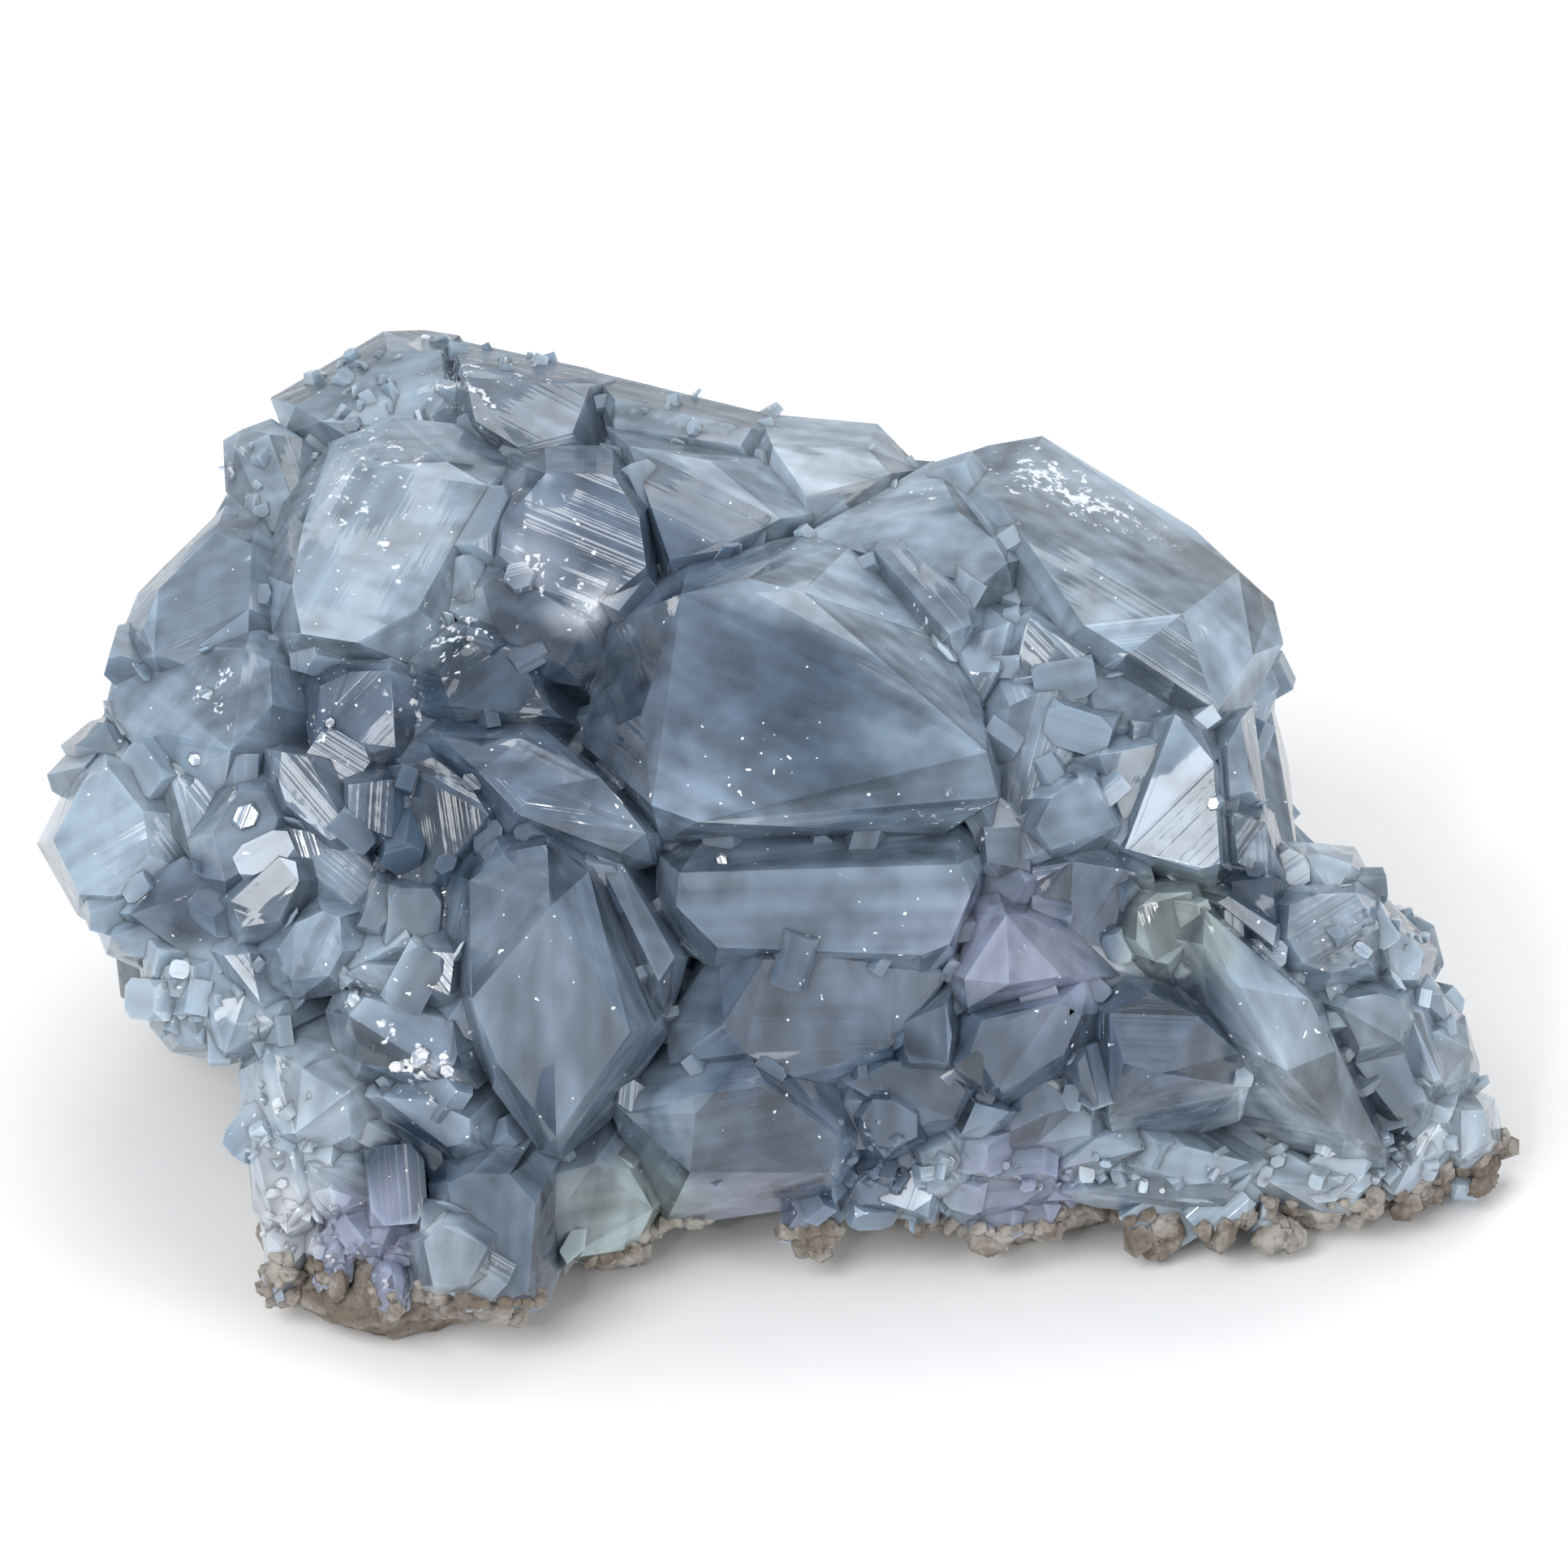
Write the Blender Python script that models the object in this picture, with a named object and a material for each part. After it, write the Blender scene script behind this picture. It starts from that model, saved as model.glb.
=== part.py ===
"""A natural celestite cluster: blocky blue-grey crystals grown together on a thin rind of host rock.

The front crystals are set out as they are seen from the front, 30 degrees above the ground. Each corner has
a place across (mm to the right), up (mm up in that view) and a lift (mm towards the viewer from the mound).
The crystals at the back follow the same mound with the habit of the species.
"""

import math
import random
from dataclasses import dataclass

import bmesh
import bpy
from mathutils import Matrix, Vector, noise

MM = 0.001

# The front view that the front crystals are set out in
VIEW_TILT = math.radians(30)
EYE_DISTANCE = 700.0
VIEW_CENTRE = (1.07, 47.6)
FRONT_EDGE = -42.8
ACROSS_SHIFT = -0.55

# The mound that the crystals cover, in mm
HEART = Vector((-2.0 + ACROSS_SHIFT, FRONT_EDGE + 46.0, 25.0))
# The grown-together mass under the crystals, as ellipsoids: centre (across, depth, height) and radii
CORES = (
    ((-2.0, 46.0, 25.0), (49.0, 31.0, 31.0)),
    ((-32.0, 20.0, 14.0), (9.0, 15.0, 12.0)),
    ((42.0, 32.0, 14.0), (15.0, 15.0, 13.0)),
    ((-44.0, 36.0, 34.0), (12.0, 14.0, 14.0)),
)
SIDE_HALF_WIDTH = 62.0
SIDE_FALL = 26.0
LEG_EDGE = (-20.0, -12.0)
BODY_PROFILE = (
    (6, -14), (10, -11), (14, -7), (18, -2), (24, 3), (32, 7),
    (40, 8), (50, 6), (60, 2), (70, -5), (78, -13), (86, -26),
)
LEG_PROFILE = (
    (0, -1), (6, 2), (12, 4), (20, 6), (30, 8), (40, 9), (50, 6), (60, 2), (70, -5), (78, -13), (86, -26),
)

# Neighbouring hull faces that turn less than this are one crystal face
SAME_FACE = math.radians(16)

# The width of a crystal's root, as a share of its edge
ROOT_WIDTH = 0.72

# How far the slope of a flat front face may turn from the mound's own
FACE_TURN = 0.26

# The crest and sides that the back crystals stay under, as (across, up) in the front view
SKYLINE = (
    (-61, 38), (-58, 49), (-55, 53), (-53, 60), (-50, 65), (-45, 72), (-40, 79), (-35, 83), (-30, 84.5),
    (-24, 83.8), (-18, 82), (-10, 79.7), (0, 77.9), (5, 76.4), (10, 75.5), (13, 73.6), (20, 75.5),
    (25, 74.6), (30, 72), (35, 69), (39, 65.4), (41.4, 62), (42, 58), (42.2, 50), (42.3, 42.3), (48, 42.3),
    (50, 39), (53, 36), (54.8, 33.5), (56.7, 28.7), (58.3, 24.5), (59.5, 21.8), (61, 14),
)
SKYLINE_MARGIN = 0.8
SIDE_LIMIT = 59.0
BEHIND = 2.0

# The rind of host rock, in mm
GAP = 0.3
RIND_OUTLINE = (
    (-41, 8), (-38, 3.5), (-34, 1), (-31, 0.4), (-27, 1.5), (-24, 4), (-22, 8), (-19.5, 15), (-15, 21.5),
    (-9, 23.5), (-5, 22.6), (0, 23.3), (3, 22), (6, 20), (9.5, 18.4), (13, 19), (16.5, 17), (20, 15),
    (23, 15.2), (27, 17.5), (31, 20.3), (35, 22), (38.5, 19.8), (42, 18.2), (45, 16.8), (48, 17),
    (50.5, 20), (53.5, 21), (56, 25), (57, 30), (54, 37), (49, 46), (42, 56), (34, 66), (20, 74), (0, 77),
    (-22, 76), (-37, 70), (-44, 61), (-46, 53), (-43.5, 42), (-42, 30), (-43, 19),
)
RIND_TOP = 8.6
# Each ring of the rind from the foot up: its height, and how far it is drawn in
RIND_RINGS = ((0.0, 3.4), (1.4, 1.7), (3.4, 0.0), (6.0, 0.8), (RIND_TOP, 3.4))
RIND_GRAIN = 0.31
RIND_SEED = 5
RIND_CHIP = 1.1
RIND_BUMP = 0.8
GROUND_CLEARANCE = 0.6

COLOURS = {
    "celestite": ((0.17, 0.24, 0.32, 1.0), 0.12),
    "matrix": ((0.34, 0.29, 0.24, 1.0), 0.9),
}


@dataclass(frozen=True)
class Crystal:
    """One front crystal: its outer edge, its front face, and any ridge corners, in mm in the front view."""

    name: str
    edge: tuple
    face: tuple = ()
    ridge: tuple = ()
    lift: float = 4.0
    edge_lift: float = 1.4
    root: float = 17.0
    shrink: float = 0.68


CRYSTALS = (
    # The crown at the upper left
    Crystal(
        "peak",
        edge=((-41.2, 79.4), (-38.2, 80.8), (-35, 83), (-31.8, 84.7), (-28.5, 85.1), (-25.2, 84.2),
              (-25.5, 79), (-30, 77), (-34, 75.8), (-40, 76.3)),
        face=((-39, 78.6), (-35.5, 81.3), (-31.5, 83.2), (-27.6, 83.4), (-27, 80.8), (-31.5, 78.9),
              (-37, 77.3)),
        lift=2.5, edge_lift=-0.5,
    ),
    Crystal(
        "left_shoulder",
        edge=((-45, 75.8), (-43.5, 76.8), (-41, 77.6), (-38.5, 76), (-39, 70), (-41, 68.3), (-44.8, 71.6)),
        lift=2.5,
    ),
    Crystal(
        "frosted_tower",
        edge=((-41.6, 65), (-41.3, 60), (-39.7, 57.6), (-34.8, 56.8), (-28, 59.5), (-25, 65), (-21.5, 72),
              (-20.8, 74.6), (-25, 77), (-31, 77.8), (-36, 76), (-40.2, 70.5)),
        face=((-38.5, 69), (-39.5, 63.5), (-38.3, 60), (-34, 59.3), (-29, 62), (-26.5, 66.5), (-23.4, 72),
              (-26.5, 74.2), (-34, 73.6)),
        lift=6.5,
    ),
    Crystal(
        "left_tower",
        edge=((-44.8, 70.4), (-49.6, 66), (-52, 63.3), (-53.4, 59.8), (-52.9, 57.4), (-50, 56.2),
              (-46, 56.6), (-43, 57.8), (-40.8, 61.5), (-40.6, 67.8), (-42, 70)),
        face=((-45.6, 68.4), (-50.3, 63.6), (-51.6, 60.2), (-50.6, 58.4), (-47, 58.9), (-43.2, 61.6),
              (-42.4, 67)),
        lift=4.5,
    ),
    Crystal(
        "blue_crown",
        edge=((-26, 84.2), (-22.4, 83.6), (-18.9, 82.9), (-15, 81.8), (-12.6, 80.4), (-14, 77), (-16, 74.3),
              (-21.1, 73.6), (-25, 75.8), (-26.6, 79.8)),
        face=((-25, 81), (-20, 81.4), (-15, 80.4), (-16, 76.4), (-20.8, 75.4), (-24.4, 77.4)),
        lift=3.5, edge_lift=-0.5,
    ),
    Crystal(
        "saddle_strip",
        edge=((-15, 81.6), (-9.7, 79.5), (-4.9, 79.1), (-0.3, 78), (1, 76.6), (-1, 73.5), (-5, 74),
              (-13.1, 75.4)),
        face=((-12.8, 79.2), (-6, 78), (-1.6, 76.8), (-2.6, 75.3), (-9.7, 76.2), (-12.8, 77)),
        lift=2.5, edge_lift=-0.5,
    ),
    Crystal(
        "saddle_flank",
        edge=((-13.5, 77), (-5, 75.6), (-0.6, 74.3), (3.4, 70), (-2.5, 66), (-8.7, 64), (-10.8, 68.6),
              (-13, 73)),
        face=((-11.8, 75.4), (-5, 74.2), (-2.4, 72), (0.8, 69.2), (-4, 66.8), (-8.2, 66.2), (-10, 70)),
        lift=4.5,
    ),
    Crystal(
        "cleaved_block",
        edge=((-23.6, 70.4), (-21.6, 74.8), (-18.6, 75.6), (-13, 75.4), (-9.6, 72), (-8.8, 68.6),
              (-8.6, 64.4), (-11.6, 61.4), (-14, 59.6), (-19.4, 61.8), (-23.6, 65)),
        face=((-22, 69), (-18.3, 73.4), (-13, 73), (-10.8, 69.5), (-10.4, 65.2), (-14.4, 62), (-20, 64.3),
              (-22.3, 66.4)),
        lift=6.0,
    ),
    Crystal(
        "cleaved_foot",
        edge=((-25.6, 65.4), (-27.2, 62.4), (-24, 59.4), (-19, 56.2), (-15.5, 55.6), (-13.4, 58),
              (-13, 61), (-19.4, 65), (-23, 67)),
        lift=3.6,
    ),
    Crystal(
        "navy_block",
        edge=((-29.8, 57.8), (-26.8, 60.8), (-23.2, 61.6), (-19.4, 60), (-17.8, 56), (-17.2, 53),
              (-19.6, 51.4), (-25, 51.6), (-29.4, 53.4)),
        face=((-27.4, 57), (-24.2, 59.5), (-20.6, 58.2), (-19.2, 55), (-20.8, 53.4), (-26.2, 54)),
        lift=3.6,
    ),
    # The top and the long right-hand crystal
    Crystal(
        "top_block",
        edge=((-1.8, 74.6), (-0.9, 78.1), (4.1, 76.6), (8.7, 77.1), (10.8, 75.2), (12.4, 73.6), (9.6, 70.4),
              (7, 69.2), (3, 68.6), (1, 71)),
        face=((0, 75.2), (3.5, 75.3), (8, 75.3), (9.6, 73), (6, 71), (3, 71.3)),
        lift=3.2, edge_lift=-0.5,
    ),
    Crystal(
        "bright_wedge",
        edge=((2.6, 68), (6.6, 70.4), (10.4, 72.4), (13.2, 74), (16.4, 72.6), (20, 69.4), (21.6, 66.2),
              (20, 63.2), (17, 61.6), (13, 64.6), (9, 66.8)),
        face=((8, 69), (12.3, 70.4), (15.5, 70.1), (18.4, 67.6), (19.4, 65.8), (17.2, 63.9), (13.2, 67)),
        lift=5.0,
    ),
    Crystal(
        "banded_wedge",
        edge=((6.6, 67.5), (9.6, 69), (12.4, 68), (17.4, 63.6), (17.8, 60.3), (15.3, 57.6), (13.4, 59),
              (9.6, 63.4)),
        face=((8.3, 67), (11.5, 66.8), (16, 63), (16.4, 60.7), (14.6, 59.9), (10.6, 64)),
        lift=4.6,
    ),
    Crystal(
        "dark_notch",
        edge=((14, 59.5), (17.2, 62.6), (20.4, 62), (22, 60), (19, 56), (17, 53.6), (15.6, 56)),
        lift=2.8,
    ),
    Crystal(
        "bright_chip",
        edge=((19.2, 61.4), (21.6, 62.6), (27, 58.8), (26.9, 56.8), (22.4, 55), (19.2, 54.8), (18.4, 57.6)),
        face=((20.9, 59.7), (21.8, 60.8), (25.8, 58.3), (25.2, 57.2), (22.4, 56.4), (20.4, 56.3)),
        lift=4.2,
    ),
    Crystal(
        "long_ridge",
        edge=((13.6, 73.8), (15.5, 74.8), (17.8, 75.5), (21.8, 76), (25, 74.8), (30.4, 72.1), (35, 69),
              (38.8, 65.7), (41.4, 62.1), (42, 59), (40.1, 55.2), (38.2, 51.8), (35.6, 51.4), (32.5, 53.2),
              (28.4, 55.4), (25.6, 57.4), (20.4, 63.6), (18, 68)),
        ridge=((22.8, 73.8, 3.6), (27.9, 70.6, 4.6), (35, 66.5, 3.6), (38.6, 65.0, 2.4), (19, 70.6, 6.4),
               (25.2, 67.2, 7.6), (28.7, 64.8, 8), (33.4, 61.5, 7.4), (39.6, 58.6, 3.6), (36.6, 53.6, 4.6),
               (29.4, 58.2, 6.4), (25.8, 60.8, 6)),
        edge_lift=0.2, root=26.0,
    ),
    # The middle
    Crystal(
        "great_table",
        edge=((-13.9, 60.3), (-9, 64.9), (-6.4, 66.2), (-3, 67), (2.8, 68.1), (6.8, 67.5), (10.2, 63.9),
              (13.9, 59.7), (16.9, 55.4), (19.1, 48.5), (18.6, 45.6), (14.5, 43.2), (5, 42.2), (-5.5, 42.6),
              (-9.4, 42.6), (-15.6, 50)),
        face=((-11.3, 53.5), (-9.9, 58), (-6.8, 63.6), (-1.8, 64.5), (2.8, 63.3), (7.7, 59.7), (12.9, 55.7),
              (18, 50), (18.2, 47.3), (12, 46), (3, 45.1), (-6, 44.8), (-9, 46.4)),
        lift=7.5, edge_lift=1.6, root=28.0,
    ),
    Crystal(
        "step_block",
        edge=((-9.4, 42), (-5, 43.8), (2, 44.4), (10, 44.6), (15.4, 44.6), (17.8, 42.4), (17.4, 38),
              (15.3, 32.8), (12, 31), (-1.3, 33.6), (-4.7, 31.8), (-9.5, 37)),
        face=((-7.5, 40.3), (0, 41.7), (10, 41.4), (15.4, 41), (16.4, 38.5), (14.7, 34.4), (12.3, 33.6),
              (6, 34.6), (-1, 35.8), (-4.4, 34.2), (-7.8, 37.5)),
        lift=5.0, edge_lift=0.4, root=24.0,
    ),
    Crystal(
        "dark_step",
        edge=((-8.6, 28), (-4.4, 34.2), (-1.3, 36), (10.4, 35.2), (14.4, 32), (12.2, 28.6), (10.4, 24.6),
              (5, 21.6), (1, 20.6), (-3, 23.4), (-8.4, 24.6)),
        face=((-4, 28), (-0.5, 33), (5, 33.6), (10.3, 32.6), (10.8, 30.6), (9.7, 26), (4.5, 23.7),
              (1.8, 23.4), (-2, 25.6)),
        lift=4.6, root=22.0,
    ),
    Crystal(
        "diagonal_prism",
        edge=((-26.8, 40.6), (-23, 44), (-19, 45), (-15.6, 43.6), (-13.4, 41), (-8.6, 28), (-8.4, 27),
              (-11, 23), (-13.4, 19.8), (-17.3, 16.8), (-18.8, 17.4), (-22.8, 22.6), (-25.4, 27.6),
              (-26.8, 33)),
        ridge=((-24.8, 39.6, 5.6), (-22, 42, 6), (-18.4, 42.6, 6.2), (-18, 37.7, 9), (-12.2, 27.6, 9),
               (-15.2, 40.6, 5), (-9.4, 27.9, 5.4), (-11.9, 24.2, 6), (-17, 18.4, 5.6), (-22.4, 24.6, 6),
               (-24.6, 29.6, 6)),
        root=26.0,
    ),
    Crystal(
        "upper_left_shoulder",
        edge=((-29.4, 51), (-26.8, 53.8), (-20, 53.4), (-17.4, 50.6), (-14.6, 50.2), (-11.6, 47.4),
              (-8.4, 43.2), (-9.6, 41), (-13, 39.6), (-17, 42), (-22.5, 43), (-25.6, 47)),
        ridge=((-27, 51.4, 4.4), (-20.4, 51.4, 5), (-24.2, 48.6, 6.4), (-19.6, 47.2, 7), (-13.8, 48, 6.4),
               (-10.4, 43.6, 6), (-12, 42, 5), (-20, 44.6, 6)),
        root=20.0,
    ),
    Crystal(
        "slotted_prism",
        edge=((-16.2, 43.2), (-12.6, 43.4), (-9, 38), (-6.8, 33.4), (-8.4, 27.6), (-10.6, 28), (-14, 36)),
        face=((-14.6, 42), (-12.6, 42), (-9.8, 37), (-8, 33), (-9.2, 31.6), (-12.4, 37)),
        lift=3.8,
    ),
    Crystal(
        "navy_strip",
        edge=((-31.6, 50.4), (-28.4, 52), (-24, 49), (-21.4, 45.4), (-23.6, 42), (-27, 40.4), (-28.8, 36.8),
              (-31.4, 36.6), (-32.2, 42)),
        face=((-30, 48.8), (-28, 49.8), (-24.8, 47.6), (-23.2, 45), (-26.6, 42.4), (-28.6, 38.6),
              (-30.6, 39), (-30.8, 43)),
        lift=3.4,
    ),
    # The lower middle
    Crystal(
        "bottom_block",
        edge=((-13.4, 22), (-6.5, 26), (-1.5, 27), (2.6, 24.6), (5.6, 24.4), (7.9, 19.5), (7.9, 17),
              (6, 13.8), (0, 12.6), (-5.5, 11.2), (-8.4, 11.3), (-9.9, 13.2), (-12.8, 19)),
        ridge=((-6.2, 20.5, 8.4), (-4.8, 22.7, 8.2), (-0.5, 22.8, 8.4), (2.7, 20.5, 8.4), (5.4, 18.6, 7.4),
               (5, 14.8, 7), (-6.9, 16.4, 8.4), (-9.3, 16.4, 5.6), (-1.6, 25.5, 5), (-12, 20.6, 4),
               (-8.4, 12.4, 3.6), (6.6, 18.6, 5)),
        edge_lift=0.8, root=22.0,
    ),
    Crystal(
        "green_hexagon",
        edge=((-18.2, 15.4), (-16.2, 17.6), (-13.8, 17.8), (-11, 16.8), (-8.8, 13), (-9.8, 10.4),
              (-11, 8.6), (-14.6, 8.1), (-17.4, 8.5), (-18.4, 11)),
        face=((-17, 15), (-14.6, 16.6), (-11.6, 15.8), (-9.8, 12.8), (-11, 9.5), (-14.6, 9.1),
              (-17.1, 9.4)),
        lift=6.0, edge_lift=1.0, root=14.0,
    ),
    Crystal(
        "blue_boulder",
        edge=((-28.4, 14.8), (-26.8, 16.8), (-24.8, 17.2), (-21, 17.1), (-18.6, 15.4), (-17, 12),
              (-17.2, 8), (-18.5, 4.9), (-20.4, 3.6), (-22.4, 3.5), (-25.4, 4.4), (-28, 7)),
        face=((-26.6, 14.6), (-24.8, 15.8), (-21.4, 15.4), (-19.4, 13.2), (-18.9, 9), (-20, 5.9),
              (-22, 5.2), (-25.6, 8)),
        lift=5.4, root=12.0,
    ),
    Crystal(
        "clear_hexagon",
        edge=((-30, 10.4), (-28.2, 12.5), (-26.2, 12.4), (-22.5, 10.1), (-22, 7), (-24.4, 5.2), (-27.2, 4.9),
              (-29.6, 6.3)),
        face=((-28.6, 9.6), (-27.2, 11.4), (-25.6, 11.2), (-23.2, 9.4), (-23.1, 7.3), (-25, 6.4),
              (-27.6, 6.4)),
        lift=8.4, edge_lift=3.0, root=12.0,
    ),
    Crystal(
        "stained_block",
        edge=((9.6, 24), (9.8, 28.6), (12.4, 29.8), (15, 31), (15.8, 28), (15.8, 24.4), (13.4, 23)),
        face=((10.9, 25.6), (11, 28), (14.3, 29.4), (14.9, 27), (14.5, 24.8), (11.6, 24.5)),
        lift=4.4,
    ),
    Crystal(
        "ink_block",
        edge=((4.4, 22.2), (4.6, 24.4), (9.6, 26), (14.8, 25.8), (17.8, 22.6), (16.6, 19), (12, 18),
              (8.6, 20.4)),
        face=((6.4, 22.9), (9.8, 24.8), (13.8, 24.8), (16, 22.4), (15, 20.2), (12, 19.6), (9, 21.6)),
        lift=3.8,
    ),
    Crystal(
        "plum_block",
        edge=((5.8, 20.4), (7, 22.7), (9.4, 23), (12.4, 21.4), (13.2, 18), (10.6, 16.6), (8.6, 15.8),
              (6.6, 17.6)),
        face=((7.4, 20.2), (8.4, 21.7), (10, 21.6), (12, 20.4), (12, 18.6), (10.2, 17.8), (8.4, 17.9)),
        lift=5.0,
    ),
    Crystal(
        "milky_block",
        edge=((11.2, 17.6), (12.6, 19.2), (15.2, 19.2), (17.2, 17.6), (17, 15), (15.6, 13.4), (12.8, 13.2),
              (11.6, 15)),
        lift=5.0,
    ),
    Crystal(
        "low_plum",
        edge=((5.4, 14.4), (6.6, 16.2), (9, 17.8), (10.8, 16.6), (12.4, 14.3), (12, 12), (9.4, 11.7),
              (5.6, 12.6)),
        face=((7, 14.8), (9, 16.4), (10.2, 15.6), (11.5, 14), (10.8, 12.8), (8, 13)),
        lift=4.6,
    ),
    Crystal(
        "low_slab",
        edge=((15.4, 13.6), (16, 16.6), (17.2, 18.2), (20.4, 17.6), (23.4, 16.2), (23.8, 14), (21.6, 12.2),
              (17, 11.6)),
        face=((16.9, 14), (17.1, 16.8), (20, 16.5), (22.3, 15.6), (22.2, 14.3), (20.6, 13), (17.4, 12.8)),
        lift=4.4,
    ),
    Crystal(
        "lavender_block",
        edge=((14.6, 29.4), (14.8, 32), (16.6, 37.4), (18.4, 39.2), (20.8, 38.6), (24, 37.2), (26.8, 34.6),
              (28.6, 32), (26, 30.4), (16, 27.8)),
        ridge=((19.4, 37, 8), (19.4, 30.6, 7.4), (23.2, 35.6, 5.8), (23.9, 31.8, 5.4), (15.9, 31.4, 4.4),
               (17.8, 36, 4.6), (16.2, 29.4, 4.6)),
        edge_lift=0.6,
    ),
    Crystal(
        "slate_block",
        edge=((14.2, 25), (15, 28.8), (20, 30.6), (26.4, 32), (27.8, 29), (26, 24.6), (22, 22.4), (19, 21),
              (16.6, 21.8)),
        face=((16.4, 25.6), (17.4, 28.2), (23.6, 29.8), (25.6, 28.6), (24, 25.4), (21, 23.8), (18.8, 22.7)),
        lift=4.8,
    ),
    Crystal(
        "slate_facet",
        edge=((14.4, 24.6), (15.8, 27.6), (17.8, 27), (18.8, 23.8), (17.6, 21.6), (15.6, 22.6)),
        lift=4.8,
    ),
    Crystal(
        "right_dark_block",
        edge=((25.6, 26), (27, 29.6), (29.4, 31.2), (32, 32.4), (34.4, 31), (37.4, 29), (39.4, 26),
              (40.4, 22.3), (38.4, 20), (35, 18.6), (28, 17.8), (26.2, 20)),
        ridge=((28.4, 28.8, 4.6), (31, 30.4, 4.8), (34.8, 28.7, 6.4), (33, 24.8, 7), (28.6, 24.6, 5.2),
               (38.6, 25.4, 4.6), (39.2, 22.6, 3.6), (37.6, 21.4, 3.6), (28, 20.2, 4.4)),
        edge_lift=0.2, root=20.0,
    ),
    Crystal(
        "slot_prism",
        edge=((16.6, 17.6), (20.4, 21.6), (22, 23.4), (26.4, 23.4), (27.6, 20.6), (27.4, 18), (24.4, 16.2),
              (20.6, 16.2)),
        face=((21.8, 18), (23, 20.6), (25.4, 21.2), (26.4, 20.2), (26.2, 18.8), (23.8, 17.4)),
        lift=3.2,
    ),
    Crystal(
        "slot_chip",
        edge=((14.8, 18.2), (15, 20.8), (16.4, 22.2), (19, 22), (20.6, 20.8), (19, 18.8), (17.2, 17.8)),
        lift=4.6,
    ),
    Crystal(
        "slot_needle",
        edge=((24, 25), (25.8, 26.8), (26.8, 25), (27.4, 21), (26.6, 19.6), (25, 22)),
        face=((25.2, 24.6), (25.8, 25.4), (26.3, 24.2), (26.8, 21.6), (26.4, 21), (25.4, 23)),
        lift=5.4,
    ),
    # The right flank
    Crystal(
        "light_plate",
        edge=((20.6, 43.6), (22, 47), (24.8, 49.6), (27, 49.6), (28.6, 46.4), (29.4, 44.4), (28.6, 42.4),
              (23, 41), (21, 42)),
        face=((21.8, 44), (23, 46.4), (25.2, 48.2), (26.6, 48), (27.6, 45.8), (28.2, 44.1), (27.2, 43.3),
              (23, 42.3)),
        lift=5.6,
    ),
    Crystal(
        "clear_block",
        edge=((25.6, 50.8), (29, 52.6), (32.4, 52.6), (33.8, 50), (33.6, 46), (31, 43.2), (28.4, 42.8),
              (26.6, 45)),
        lift=4.2,
    ),
    Crystal(
        "blue_gusset",
        edge=((17.4, 53), (18.4, 57), (21, 57), (27.6, 57.6), (28.8, 54), (27.4, 50.4), (24, 48.6),
              (21.5, 45.4), (19.4, 45)),
        face=((19.6, 54), (22, 55), (26.4, 55.6), (26.8, 53), (24.6, 51), (22, 48.6), (20.2, 48.4)),
        lift=2.6,
    ),
    Crystal(
        "navy_gusset",
        edge=((16.6, 44.6), (18.8, 46.6), (22, 45), (22.2, 42), (22, 39.6), (19.4, 39), (17, 40.6)),
        lift=2.6,
    ),
    Crystal(
        "upper_gusset",
        edge=((24.6, 58.8), (28.6, 58.4), (33.6, 56), (35.6, 52.6), (32, 51), (28.6, 50.6), (25.6, 51.6),
              (24, 55)),
        lift=3.6,
    ),
    Crystal(
        "standing_prism",
        edge=((31, 54.4), (33.6, 55.2), (36.4, 52.6), (37.4, 50), (37.9, 44), (38.2, 40), (36.4, 38.4),
              (31, 40.2), (27.4, 42), (28.4, 44.6), (31, 49)),
        ridge=((32.6, 53, 5.6), (35.3, 52, 6.4), (36.3, 49.5, 7.4), (36.9, 41, 7), (35, 40.3, 6.4),
               (29.6, 42.4, 4.6), (32.8, 47, 5.6)),
        edge_lift=0.4,
    ),
    Crystal(
        "shadow_block",
        edge=((19, 40.4), (22, 42.4), (27, 43.4), (30.6, 42.4), (31.6, 40), (30.4, 37), (30, 34), (31.6, 31.4),
              (27.4, 30.4), (24.4, 33), (23, 36), (20.4, 37.6)),
        face=((21.6, 39.6), (24.8, 41.2), (29, 40.6), (28.6, 36.6), (28.6, 34), (26.4, 34.2), (24.4, 37.4)),
        lift=2.4,
    ),
    Crystal(
        "green_block",
        edge=((28.8, 38.2), (31, 40), (35, 40), (36.2, 37.6), (35.8, 33.6), (33, 30.8), (31.2, 31.4),
              (28.8, 34.2)),
        face=((30.2, 37.4), (31.6, 38.6), (34.4, 38.6), (34.6, 34.8), (32.6, 32.8), (31.4, 33),
              (30, 34.8)),
        lift=5.0,
    ),
    Crystal(
        "great_diagonal",
        edge=((34.6, 38.8), (36.2, 38.4), (40.6, 35.2), (43.8, 32.2), (45.6, 30), (48.1, 25.6),
              (50.2, 21.3), (51.6, 17), (50.6, 15), (47, 15.2), (43, 16.8), (38.4, 20), (36, 25),
              (33.6, 28.6), (31.4, 32), (33, 35)),
        ridge=((35.6, 37.2, 7.4), (39.6, 34.4, 7.6), (44, 30, 8), (46.7, 25.8, 8.4), (49.2, 20.8, 8.4),
               (50.2, 17.5, 7), (46.3, 19, 8.6), (42.3, 24.8, 9.4), (38.2, 30.8, 9.4), (35.6, 34.6, 8),
               (38.4, 27.6, 5.6), (41.4, 20.4, 5.4), (46, 16.4, 5)),
        edge_lift=0.4, root=22.0,
    ),
    Crystal(
        "right_wall",
        edge=((36.6, 51.2), (38.4, 54.4), (39.6, 54.1), (40.3, 50.6), (40.3, 47.6), (40.8, 45.2),
              (37.6, 44.6), (36.6, 47)),
        face=((37.4, 50.6), (38.6, 53), (39.5, 50.6), (39.5, 47), (37.8, 46.6)),
        lift=3.0, edge_lift=-0.5,
    ),
    Crystal(
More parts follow.
